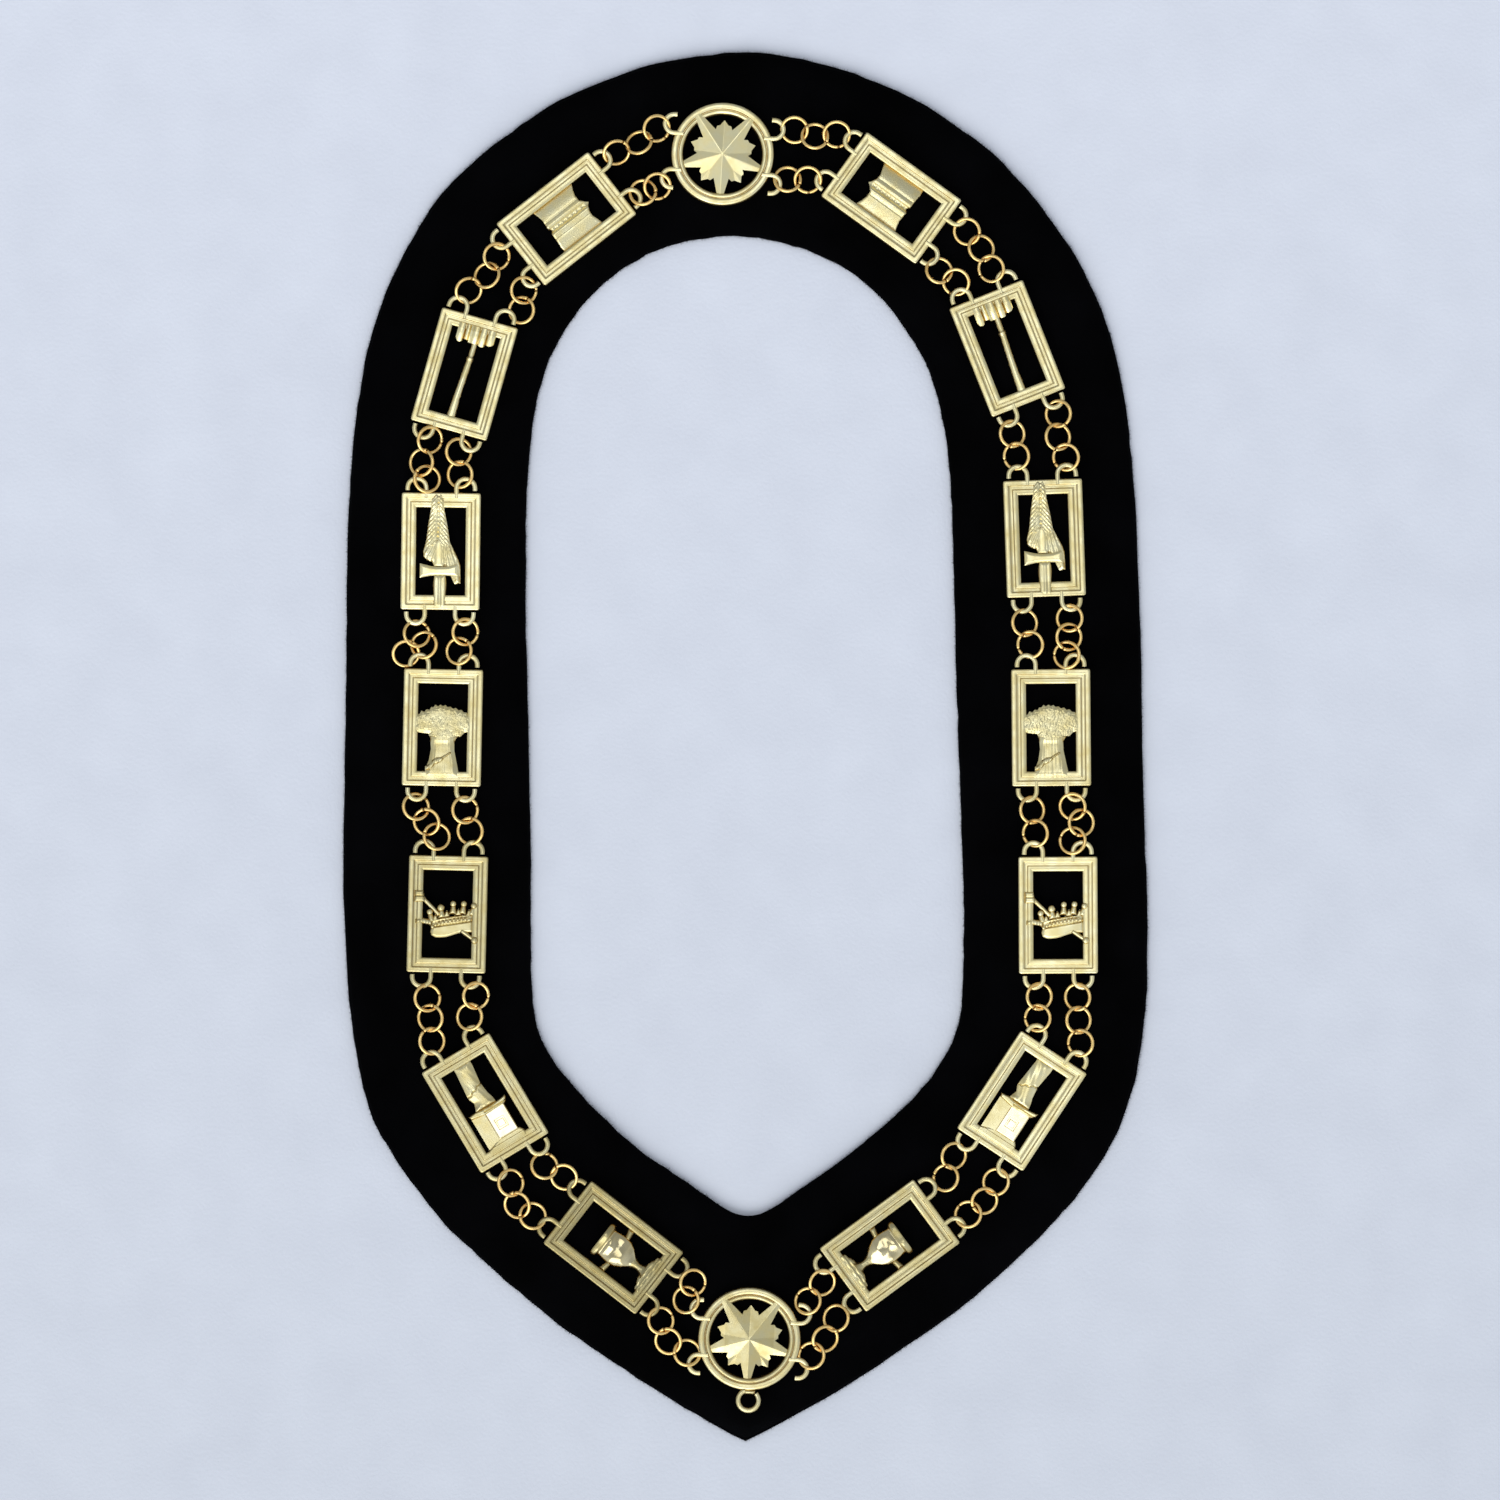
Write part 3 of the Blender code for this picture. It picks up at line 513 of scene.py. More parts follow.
def relief(casting, outline, height):
    """Cast relief inside an outline in units, its top at height(u, v, depth) mm over the casting's back."""
    part = bmesh.new()
    us, vs = [p[0] for p in outline], [p[1] for p in outline]
    wide, tall = max(us) - min(us), max(vs) - min(vs)
    middle = Matrix.Translation(((max(us) + min(us)) / 2, (max(vs) + min(vs)) / 2, 0))
    columns, rows = (max(2, round(side / RELIEF_CELL)) for side in (wide, tall))
    sides = Matrix.Diagonal((wide, tall, 1, 1))
    bmesh.ops.create_grid(part, x_segments=columns, y_segments=rows, size=0.5, matrix=middle @ sides)
    outside = [f for f in part.faces if depth_inside(outline, *f.calc_center_median().xy)[0] < 0]
    bmesh.ops.delete(part, geom=outside, context="FACES")
    for vert in part.verts:
        if vert.is_boundary:
            vert.co.xy = depth_inside(outline, *vert.co.xy)[1]
    lifted = bmesh.ops.extrude_face_region(part, geom=part.faces[:])["geom"]
    tops = {v for v in lifted if isinstance(v, bmesh.types.BMVert)}
    for vert in part.verts:
        u, v = vert.co.xy
        depth = max(0.0, depth_inside(outline, u, v)[0])
        vert.co = (u * UNIT, v * UNIT, height(u, v, depth) / 1000 if vert in tops else RELIEF_FOOT)
    bottom = [f for f in part.faces if not any(v in tops for v in f.verts)]
    bmesh.ops.dissolve_faces(part, faces=bottom)
    join(casting, part)


def swell(depth, reach):
    """A soft crown: from 0 at an edge to 1 at the given depth, level there."""
    short = 1 - min(depth / reach, 1)
    return 1 - short * short


TONE_POWERS = (1.0, 1.07, 1.3)


def lay_casting(casting, places):
    """Copies a casting to its places on the velvet, each in its CAD link's stead.

    A place is the node, its middle in metres, its turn in degrees and the tones of its frame and emblem;
    these tones are partly a real difference in the gilding and partly painted light and painted shade, set
    link by link.
    """
    opening_across, opening_along = FRAME_WIDTH / 2 - FRAME_BAR, FRAME_LENGTH / 2 - FRAME_BAR
    pattern = bpy.data.meshes.new("casting")
    casting.to_mesh(pattern)
    casting.free()
    for node, x, y, turn, frame_shade, emblem_shade in places:
        mesh = pattern.copy()
        tone = mesh.attributes.new("tone", "FLOAT_COLOR", "POINT")
        # Each vertex takes its frame's or its emblem's tone: partly real gilding, partly painted light and
        # shade for how lit the link lies.
        for vert, gilding_and_light in zip(mesh.vertices, tone.data):
            in_opening = abs(vert.co.x) < opening_across and abs(vert.co.y) < opening_along
            shade = emblem_shade if in_opening else frame_shade
            gilding_and_light.color = (*(shade ** power for power in TONE_POWERS), 1)
        mesh.name = node + "_casting"
        mesh.materials.append(gilt_casting)
        mesh.materials.append(gilt_polished_and_lit)
        mesh.transform(Matrix.Translation((x, y, LIE_HEIGHT)) @ Matrix.Rotation(math.radians(turn), 4, "Z"))
        mesh.shade_smooth()
        mesh.set_sharp_from_angle(angle=math.radians(40))
        piece = bpy.data.objects.new(node + "_casting", mesh)
        bpy.context.scene.collection.objects.link(piece)
        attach(piece, "root")
        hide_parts(node)
    bpy.data.meshes.remove(pattern)


# The star medallions, top and bottom.
# A round moulded ring cast in one with a star of five long and five short rays, cut in facets to a peak.
# The lower one has one eye more at its foot, which carries a pendant jewel when one is worn.
MEDALLION_RADIUS = 0.0169
MEDALLION_BAR = 0.0039
MEDALLION_EYE_OFFSET = 0.0090
MEDALLION_EYE_BASE = 0.0149
PENDANT_RADIUS = 0.00335
PENDANT_WIRE = 0.00175
PENDANT_MIDDLE = (0.0007, -0.0201)
PENDANT_START, PENDANT_BEND = math.radians(112), math.radians(292)
MEDALLION_MOULDING = [
    # inset as a share of the bar, height as a share of the thickness
    (0.0, 0.0), (0.0, 0.74), (0.03, 0.86), (0.08, 0.94), (0.18, 0.99), (0.30, 1.0), (0.42, 0.99),
    (0.51, 0.95), (0.55, 0.86), (0.575, 0.77), (0.60, 0.77), (0.63, 0.87), (0.68, 0.93), (0.76, 0.95),
    (0.85, 0.92), (0.93, 0.84), (1.0, 0.66), (1.0, 0.0),
]
# Each long ray: its bearing in degrees, then its reach and how fast its ridge falls, in mm for each unit.
STAR_LONG_RAYS = {
    270: (41.0, 0.040), 342: (40.0, 0.040), 54: (45.0, 0.015), 126: (46.5, 0.015), 198: (40.0, 0.040),
}
STAR_SHORT_RAY = 34.0
STAR_STEPS = [(24.0, -8.2), (28.0, -7.0), (28.6, -4.2)]
STAR_TIP_HALF = 3.2
STAR_PEAK = 3.9
SHORT_RAY_DROP = 0.75
SHORT_RAY_FALL = 0.040
LONG_RAY_STEEP, SHORT_RAY_STEEP = 0.078, 0.050


def medallion_ring(casting):
    """The round frame: its moulding's section, spun once round the middle."""
    ring = bmesh.new()
    corners = [
        ring.verts.new((MEDALLION_RADIUS - inset * MEDALLION_BAR, 0, height * CASTING_THICKNESS))
        for inset, height in MEDALLION_MOULDING
    ]
    section = [ring.edges.new(pair) for pair in zip(corners, corners[1:] + corners[:1])]
    bmesh.ops.spin(
        ring, geom=corners + section, cent=(0, 0, 0), axis=(0, 0, 1), angle=math.tau, steps=72, use_merge=True
    )
    join(casting, ring)


def bar(casting, start, end, half_start, half_end, low, high):
    """A straight round-topped bar between two points of the drawing."""
    along = (Vector(end) - Vector(start)).normalized()
    across = Vector((-along.y, along.x))
    corners = [(start, half_start), (start, -half_start), (end, -half_end), (end, half_end)]
    outline = [tuple(Vector(middle) + across * half) for middle, half in corners]
    thickest = max(half_start, half_end)
    relief(casting, outline, lambda u, v, depth: low + (high - low) * swell(depth, thickest))


def pendant_eye(casting):
    """The eye for a jewel: a round hook open at its upper right, brazed under the ring by a short bar."""
    hook = bmesh.new()
    middle = Vector((*PENDANT_MIDDLE, EYE_HEIGHT))
    about = Matrix.Translation(middle) @ Matrix.Rotation(PENDANT_START, 4, "Z")
    start = about @ Matrix.Translation((PENDANT_RADIUS, 0, 0)) @ UPRIGHT
    bmesh.ops.create_circle(hook, cap_ends=True, segments=12, radius=PENDANT_WIRE / 2, matrix=start)
    bmesh.ops.spin(
        hook, geom=hook.faces[:], cent=middle, axis=(0, 0, 1), angle=PENDANT_BEND, steps=26,
        use_merge=False, use_duplicate=False,
    )
    join(casting, hook)
    bar(casting, (-6.5, -53.0), (8.5, -53.0), 2.2, 1.8, 2.6, 3.2)


def star_height(u, v, depth):
    """The star's facets: each ray is a roof that falls away from its ridge."""
    height = 0.9
    for bearing, (reach, fall) in STAR_LONG_RAYS.items():
        long_ray = (0, STAR_PEAK, fall, LONG_RAY_STEEP)
        short_ray = (36, STAR_PEAK - SHORT_RAY_DROP, SHORT_RAY_FALL, SHORT_RAY_STEEP)
        for turn, peak, drop, steep in (long_ray, short_ray):
            angle = math.radians(bearing + turn)
            along = u * math.cos(angle) + v * math.sin(angle)
            aside = abs(v * math.cos(angle) - u * math.sin(angle))
            if along > 0:
                height = max(height, peak - drop * along - steep * aside)
    return height


short_tip = STAR_STEPS + [(STAR_SHORT_RAY, 0)] + [(along, -aside) for along, aside in reversed(STAR_STEPS)]
star_outline = []
for bearing, (reach, fall) in sorted(STAR_LONG_RAYS.items()):
    for turn, corners in ((0, [(reach, -STAR_TIP_HALF), (reach, STAR_TIP_HALF)]), (36, short_tip)):
        angle = math.radians(bearing + turn)
        for along, aside in corners:
            corner_u = along * math.cos(angle) - aside * math.sin(angle)
            corner_v = along * math.sin(angle) + aside * math.cos(angle)
            star_outline.append((corner_u, corner_v))

# The last two numbers are the tones of the frame and the emblem, partly gilding and partly painted light and
# shade.
STAR_PLACES = [
    ("star_top", -0.0074, 0.1946, -3.5, 1.06, 1.10),
    ("star_bottom", 0.0014, -0.1946, -3.0, 0.94, 0.80),
]
for place in STAR_PLACES:
    star = bmesh.new()
    medallion_ring(star)
    frame_eyes(star, MEDALLION_EYE_OFFSET, MEDALLION_EYE_BASE, math.radians(90))
    relief(star, star_outline, star_height)
    if place[0] == "star_bottom":
        pendant_eye(star)
    lay_casting(star, [place])

# The book links.
# An open book seen from above, its two blocks of leaves arched up on either side of the deep fold.
# The leaves run out to the side bars, and their ends are cut in a soft wave.
BOOK_OUTLINE = [
    (-25.5, -26.5), (-19, -24.5), (-13, -22.5), (-7, -23.2), (-2.5, -25.5), (0, -28), (2.5, -24.8),
    (7, -21.2), (13, -21), (19, -23), (25.5, -26), (25.5, 23), (19, 21), (14, 20), (7, 20.5), (2.5, 21),
    (0, 18.5), (-2.5, 21), (-7, 21), (-14, 21.3), (-19, 22), (-25.5, 21.5),
]


def book_height(u, v, depth):
    """Two arches of leaves with a raised band beside the fold on each, and a bead down the fold."""
    out = min(1.0, abs(u) / 25)
    arch = math.sin(math.pi * out ** 0.62)
    leaves = 0.07 * noise.noise(Vector((u * 1.5, v * 1.5, 0)))
    bands = 0.40 * math.exp(-((abs(u) - 4.6) / 2.3) ** 2) - 0.22 * math.exp(-((abs(u) - 9.2) / 0.9) ** 2)
    fold = 0.40 * math.exp(-(u / 0.9) ** 2) * (1 + 0.3 * math.cos(v * 1.1))
    return 1.3 + 1.25 * arch + leaves + bands + fold - 0.3 * (1 - swell(depth, 1.5))


book = framed_link()
relief(book, BOOK_OUTLINE, book_height)
lay_casting(book, [
    ("book_left", -0.0587, 0.1733, 128.1, 0.96, 1.10),
    ("book_right", 0.0480, 0.1801, -125.8, 0.95, 0.98),
])

# The gavel links.
# A turned gavel whose head lies along the top bar, with its handle down the middle of the opening.
# The head has a waist between two barrel ends, and the handle a small bead and a widening grip.
GAVEL_HEAD = [
    (-18.5, 49), (-18.5, 33.5), (-16.5, 30.5), (-13.5, 30.0), (-11.8, 31.5), (-10.8, 33.6), (-7.6, 33.8),
    (-6.2, 33.0), (-4.6, 31.5), (2.2, 31.5), (4.0, 32.4), (6.0, 30.6), (9.6, 30.4), (11.6, 32.0),
    (12.6, 33.8), (14.0, 33.0), (18.0, 33.6), (20.2, 36.0), (20.2, 49),
]
GAVEL_HANDLE = [
    (-1.2, 36), (-1.4, 19), (-2.9, 16.5), (-2.0, 13.5), (-3.4, -5), (-4.8, -25), (-6.2, -48), (2.6, -48),
    (2.2, -25), (3.0, -5), (4.0, 13.5), (4.9, 16.5), (3.9, 19), (4.4, 36),
]


def gavel_head_height(u, v, depth):
    """A turned drum: rounded from below to its top, with grooves between its lobes."""
    drum = swell(max(0.0, v - 29), 14)
    lobes = 0.6 * math.sqrt(abs(math.cos((u - 0.6) * 0.415)))
    grooves = sum(math.exp(-((u - groove) / 0.7) ** 2) for groove in (-10.8, -6.3, 3.9, 11.9))
    return 1.5 + 1.6 * drum + lobes - 0.5 * grooves


def gavel_handle_height(u, v, depth):
    """A round stick, a little fuller at its bead."""
    return 1.9 + (0.7 + 0.35 * math.exp(-((v - 16.5) / 1.6) ** 2)) * swell(depth, 3.2)


gavel = framed_link()
relief(gavel, GAVEL_HEAD, gavel_head_height)
relief(gavel, GAVEL_HANDLE, gavel_handle_height)
lay_casting(gavel, [
    ("gavel_left", -0.0922, 0.1223, -15.8, 0.95, 1.16),
    ("gavel_right", 0.0861, 0.1307, 21.6, 0.97, 1.17),
])

# The veiled sword links.
# A sword stands point upwards, its hilt on the bottom bar, and a veil hangs over it from the top bar.
# The veil is gathered in slanting folds down a centre groove and opens in two flaps over the blade.
VEIL_OUTLINE = [
    (-6, 57), (-9.4, 51), (-10.2, 41.5), (-12.6, 28), (-14.6, 11), (-17.4, 0), (-17.2, -5), (-13.5, -9),
    (-8.5, -10.4), (-6.5, -15), (4, -15), (9, -22), (14.0, -32.5), (20, -31.8), (19.6, -14), (17.6, -8),
    (12.6, 2.2), (8.9, 9.4), (6.4, 25.4), (3.2, 41.5), (2.6, 50), (0.5, 57),
]
BLADE_OUTLINE = [(-5.6, 9), (-6.4, 4), (-6.4, -15), (2.7, -15), (2.9, 2), (1.6, 9), (-2, 12)]
GUARD_OUTLINE = [
    (-20.6, -12.2), (-15, -13.6), (-10, -14.8), (-5, -15.4), (3, -15.4), (8, -15.0), (13, -13.6),
    (17.5, -12.8), (17.5, -25.0), (13, -24.4), (8, -24.2), (3, -24.2), (-5, -24.2), (-10, -24.4),
    (-15, -25.4), (-20.6, -26.6),
]
GRIP_OUTLINE = [
    (-5.6, -23.5), (-7.0, -28), (-7.4, -34), (-7.0, -42), (-6.4, -57), (5.2, -57), (5.8, -42), (6.2, -34),
    (5.8, -28), (4.8, -23.5),
]


def veil_height(u, v, depth):
    """Folds that slant down to a centre groove above, and fan out over the right flap below."""
    over_bar = 1.55 / (1 + math.exp((41 - v) / 2.2))
    body = 1.6 + 0.6 * swell(depth, 4.5) + over_bar
    middle = -3.5 + 0.02 * v
    if v > 6:
        crumple = 0.16 * noise.noise(Vector((u * 0.55, v * 0.4, 6)))
        folds = 0.13 * math.cos((v + 1.15 * abs(u - middle)) * 1.5) + crumple
        return body + folds * swell(depth, 2.5) - 0.3 * math.exp(-((u - middle) / 1.1) ** 2)
    fan = math.atan2(u - 2, v - 26)
    pleats = 0.12 * math.cos(fan * 46) + 0.14 * noise.noise(Vector((u * 0.5, v * 0.4, 6)))
    return body - 0.1 + pleats * swell(depth, 2.0)


def grip_height(u, v, depth):
    """A round grip with ribs along it."""
    return 2.75 + 0.75 * swell(depth, 4.5) + 0.12 * math.cos((u + 0.6) * 1.35)


sword = framed_link()
relief(sword, VEIL_OUTLINE, veil_height)
relief(sword, BLADE_OUTLINE, lambda u, v, depth: 2.05 + 0.3 * swell(depth, 4.0))
relief(sword, GUARD_OUTLINE, lambda u, v, depth: 2.6 + 0.6 * swell(depth, 3.6))
relief(sword, GRIP_OUTLINE, grip_height)
lay_casting(sword, [
    ("sword_left", -0.1000, 0.0641, -0.7, 1.10, 1.20),
    ("sword_right", 0.0983, 0.0684, 2.0, 0.92, 1.14),
])

# The wheatsheaf links.
# A sheaf of corn bound at its waist, its ears spread to both side bars and its straw down on the bottom bar.
# The ears are cast as a crust of small grains, and a twisted band is tied across the straw.
SHEAF_OUTLINE = [
    (-28.5, 9), (-26.5, 13.5), (-23.5, 13.0), (-21.4, 16.4), (-18.5, 15.4), (-16, 18.2), (-13.5, 17.4),
    (-11.5, 20.6), (-9.5, 20.0), (-7.5, 22.8), (-5, 21.2), (-2.5, 23.0), (0, 21.4), (2.5, 22.6), (4.5, 20.6),
    (7.5, 21.2), (10, 19.0), (13, 20.0), (15.5, 17.6), (18.5, 18.2), (21, 15.6), (24, 15.4), (26, 12.5),
    (29, 10), (29.5, -1), (25.5, -4), (22, -4.6), (18.6, -8.2), (14.5, -9.8), (12.0, -13.7), (12.2, -22.6),
    (14.8, -35), (18.0, -50), (-18, -50), (-16.2, -41.5), (-13.0, -32.6), (-11.2, -21.5), (-12.0, -11.0),
    (-14.0, -6.2), (-20, -5.6), (-28.5, -4.5),
]
SHEAF_TIE = [
    (-16.5, -42.5), (-16.5, -39), (-12.5, -36.8), (-9.5, -32.5), (-5.0, -29.8), (0.8, -29.0), (1.8, -31.5),
    (-1.8, -35.0), (-7.0, -36.8), (-10.8, -41.5),
]


def sheaf_height(u, v, depth):
    """Grains above the waist, straw below it."""
    if v > -9:
        grain = noise.voronoi(Vector((u * 0.52, v * 0.56, 2.5)))[0][0]
        crust = 0.12 * noise.noise(Vector((u * 0.13, v * 0.13, 3)))
        return 2.6 + 0.6 * swell(depth, 6) - 0.26 * grain + crust
    spread_out = 1 + 0.014 * max(0.0, -14 - v)
    stray = 0.9 * noise.noise(Vector((u * 0.3, v * 0.07, 8)))
    straw = 0.022 * math.cos(u / spread_out * 2.3 + 2.4 * stray)
    waist = 0.5 * math.exp(-((v + 11) / 4) ** 2)
    over_bar = 0.75 / (1 + math.exp((v + 40) / 3.2))
    return 1.9 + (0.7 + waist) * swell(depth, 7) + straw + 0.06 * stray + over_bar


def tie_height(u, v, depth):
    """A twisted band: a raised strip with slanting turns."""
    return 3.1 + 0.6 * swell(depth, 2.5) + 0.10 * math.cos((u * 1.2 - v * 0.4) * 1.5)


sheaf = framed_link()
relief(sheaf, SHEAF_OUTLINE, sheaf_height)
relief(sheaf, SHEAF_TIE, tie_height)
bar(sheaf, (-1.0, -31.0), (9.0, -24.5), 1.4, 1.0, 2.7, 3.3)
lay_casting(sheaf, [
    ("sheaf_left", -0.0994, 0.0062, -1.2, 0.96, 0.90),
    ("sheaf_right", 0.1005, 0.0062, 0.5, 0.98, 0.94),
])

# The crown and sceptre links.
# A coronet of five balls on stalks over a beaded band, with a sceptre laid slantwise behind it.
# A short strut on the left and the two ends of the sceptre tie it to the frame's side bars.
CROWN_BALLS = [(-17.6, 1.8, 3.1), (-6.5, 6.4, 3.7), (5.7, 10.6, 3.2), (16.3, 10.8, 3.2), (26.4, 9.2, 3.2)]
CROWN_BAND = [
    (-18.0, -9.0), (-13.5, -6.6), (-9, -5.2), (0, -3.0), (10, -1.4), (18, -0.8), (26, -1.2), (26, -17.6),
    (18, -17.9), (12, -18.6), (5.5, -20.8), (0, -22.6), (-6, -23.4), (-11, -23.4), (-15.4, -21.4),
    (-16.6, -17.5), (-15.6, -13.5),
]
CROWN_BEADS = [
    (-14.6, -12.8), (-11.4, -10.9), (-8.0, -9.6), (-4.4, -8.4), (-0.8, -7.4), (3.0, -6.5), (6.8, -5.9),
    (10.6, -5.4), (14.4, -5.1), (18.2, -4.9), (22.0, -4.9),
]
CROWN_LEAVES = [(-12.0, -1.0), (-0.6, 3.2), (11.0, 5.0), (21.6, 4.6)]
LEAF_OUTLINE = [(-4.2, -6.5), (-2.2, -2.6), (-1.6, -0.6), (0, 0.8), (1.6, -0.6), (2.2, -2.6), (4.2, -6.0)]
SCEPTRE_KNOP = [(-33, 12.0), (-33, 23.4), (-24.4, 23.4), (-22.6, 12.0)]
CROWN_STRUT = [
    (-32, -5.2), (-26, -4.0), (-20, -4.8), (-14.5, -6.6), (-14.5, -11.6), (-20, -10.6), (-26, -9.4),
    (-32, -10.0),
]


def crown_band_height(u, v, depth):
    """A band bent round a head, with a sunk line between its beaded edge and its plain lower part."""
    from_edge = v + 7.6 - 0.17 * u
    rim = 0.35 * math.exp(-(from_edge - 3.6) ** 2)
    sunk = 0.5 * math.exp(-(from_edge + 2.6) ** 2) + 0.4 * math.exp(-((from_edge - 0.6) / 1.6) ** 2)
    return 2.0 + 0.5 * swell(depth, 3) + 0.4 * math.cos(u * 0.06) + rim - sunk


def ball(casting, u, v, radius, height):
    """A cast ball centred on a point of the drawing."""
    part = bmesh.new()
    place = Matrix.Translation((u * UNIT, v * UNIT, height / 1000)) @ Matrix.Diagonal((1, 1, 0.85, 1))
    bmesh.ops.create_uvsphere(part, u_segments=14, v_segments=8, radius=radius * UNIT, matrix=place)
    join(casting, part)


def knop_height(u, v, depth):
    """The sceptre's head over the side bar, grooved across its middle."""
    return 2.9 + 0.6 * swell(depth, 2.2) - 0.35 * math.exp(-((v - 17.8) / 0.7) ** 2)


def strut_height(u, v, depth):
    """A small beaded strut."""
    return 2.5 + 0.6 * swell(depth, 2.4) + 0.2 * math.cos(u * 1.1)


crown = framed_link()
bar(crown, (-24.6, 15.4), (-8, -0.6), 2.1, 2.1, 2.4, 2.9)
relief(crown, CROWN_BAND, crown_band_height)
for u, v in CROWN_BEADS:
    ball(crown, u, v, 1.75, 2.95)
for u, v, radius in CROWN_BALLS:
    bar(crown, (u * 0.88 + 0.4, v - 10.5), (u, v - 1), 3.8, 2.1, 2.1, 3.0)
    ball(crown, u, v, radius, 2.8)
for u, v in CROWN_LEAVES:
    leaf = [(u + du, v + dv) for du, dv in LEAF_OUTLINE]
    relief(crown, leaf, lambda x, y, depth: 1.8 + 0.6 * swell(depth, 1.6))
bar(crown, (13.5, -15.6), (26.6, -24.8), 2.2, 2.2, 2.4, 3.1)
relief(crown, SCEPTRE_KNOP, knop_height)
ball(crown, 27.6, -25.4, 3.7, 2.9)
relief(crown, CROWN_STRUT, strut_height)
lay_casting(crown, [
    ("crown_left", -0.0978, -0.0551, -1.4, 0.78, 0.92),
    ("crown_right", 0.1028, -0.0554, 0.3, 1.08, 1.13),
])

# The broken column links.
# A fluted shaft, cracked across, stands on a square pedestal that is seen from one corner.
# The pedestal has a cornice, a stepped base and a polished front with a small square cut into it.
PEDESTAL_SIDE = [(-20.5, -5), (-6, -9), (-6, -39), (-20.5, -44)]
PEDESTAL_FRONT = [(-6.3, -8), (16, -8), (16, -39), (-6.3, -39)]
PEDESTAL_CORNICE = [
    (-21.5, -4.0), (-13, -3.0), (-6, -4.4), (4, -4.6), (12, -3.8), (21.1, -2.6), (20.6, -6), (17, -9.8),
    (-6, -10.6), (-20.5, -8.0),
]
PEDESTAL_BASE = [(-22, -49), (-22, -43.5), (-17, -42), (-6, -38), (17, -38), (20.5, -43), (20.5, -49)]
COLUMN_SHAFT = [
    (-10, 46), (-10, 40), (-11.4, 25), (-12.7, 11.4), (-9.7, 4.9), (-13.2, -5), (10.4, -5), (9.4, 2),
    (7.4, 8), (6, 20), (8.4, 38.7), (8.6, 46),
]
PANEL_CENTRE = (4.0, -25.0)


def pedestal_front_height(u, v, depth):
    """A flat face with a sunk square round a raised boss."""
    away = max(abs(u - PANEL_CENTRE[0]), abs(v - PANEL_CENTRE[1]))
    sunk = 0.6 if 3.4 < away < 5.4 else 0.0
    return 2.8 - 0.013 * (v + 23) - sunk - 0.5 * (1 - swell(depth, 1.2))


def cornice_height(u, v, depth):
    """A rounded ledge with a groove under it along the front."""
    groove = 0.4 * math.exp(-((v + 7.4) / 0.7) ** 2) if u > -6 else 0.0
    return 2.5 + 0.7 * swell(depth, 1.8) - groove


def shaft_height(u, v, depth):
    """A round shaft with shallow flutes, stepped where it is cracked across."""
    flutes = math.cos((u + 2) * 1.1 + v * 0.34)
    crack = 16.5 + 0.42 * (u + 2) + 0.8 * math.sin(u * 0.9)
    upper = 0.3 if v > crack else 0.0
    gap = 0.3 * math.exp(-((v - crack) / 0.9) ** 2)
    foot = 0.5 * math.exp(-((v + 2) / 2.6) ** 2)
    return 1.7 + 0.9 * swell(depth, 8.5) + 0.045 * flutes + upper - gap + foot


def polish(casting, left, right, low, high):
    """Gives the polished gilt, smoother and painted brighter, to what is cast so far inside a box of the
    drawing.
    """
    for face in casting.faces:
        middle = face.calc_center_median() / UNIT
        if left < middle.x < right and low < middle.y < high:
            face.material_index = 1


column = framed_link()
relief(column, COLUMN_SHAFT, shaft_height)
relief(column, PEDESTAL_SIDE, lambda u, v, depth: 1.75 + 0.95 * (u + 20.5) / 14.5)
relief(column, PEDESTAL_FRONT, pedestal_front_height)
polish(column, -6.2, 16, -39, -8)
relief(column, PEDESTAL_CORNICE, cornice_height)
relief(column, PEDESTAL_BASE, lambda u, v, depth: 2.3 + (0.8 if v < -42.5 else 0.35) * swell(depth, 1.5))
lay_casting(column, [
    ("column_left", -0.0854, -0.1171, 30.9, 0.81, 0.94),
    ("column_right", 0.0909, -0.1164, -33.3, 1.03, 1.10),
])

# The cup links.
# A turned standing cup in half relief, with a thick lip, a full polished bowl and a spreading foot.
# Two small struts hold the bowl to the side bars, and its foot runs into the bottom bar.
CUP_SIDES = [
    # height in the drawing, half width
    (16.0, 17.6), (15.0, 18.6), (12.0, 18.8), (10.6, 18.0), (9.4, 15.8), (8.0, 15.2), (2.0, 16.2),
    (-5.0, 17.0), (-12.0, 15.5), (-18.0, 12.0), (-22.0, 8.4), (-24.5, 6.0), (-27.0, 4.4), (-31.0, 3.6),
    (-34.0, 3.9), (-36.5, 5.4), (-38.5, 8.5), (-40.0, 12.0),
]
CUP_FOOT = [
    (-21.5, -48), (-21.0, -44.0), (-19.0, -41.6), (-15.5, -40.6), (-12.5, -38.6), (-8.0, -37.4), (8.0, -37.4),
    (12.5, -38.6), (15.5, -40.6), (19.0, -41.6), (21.0, -44.0), (21.5, -48),
]


def table_value(rows, v):
    """A value read between the rows of a short table that runs downwards."""
    for (v0, a), (v1, b) in zip(rows, rows[1:]):
        if v1 <= v <= v0:
            return a + (b - a) * (v0 - v) / (v0 - v1)
    return rows[0][1] if v > rows[0][0] else rows[-1][1]


def cup_height(u, v, depth):
    """Half round across, as deep as the cup is wide there."""
    half = table_value(CUP_SIDES, v)
    across = math.sqrt(max(0.0, 1 - (u / half) ** 2))
    neck = 0.35 * math.exp(-((v - 8.0) / 1.5) ** 2)
    beaten = 0.9 * noise.noise(Vector((u * 0.075, v * 0.075, 4)))
    return 1.2 + (2.7 * (half / 18) ** 0.55 - neck + beaten) * across


def foot_height(u, v, depth):
    """A thick foot, faintly lobed, with a groove round it."""
    groove = 0.25 * math.exp(-((v + 42.6) / 0.8) ** 2)
    return 2.5 + 0.7 * swell(depth, 3.2) + 0.09 * math.cos(u * 0.62) - groove


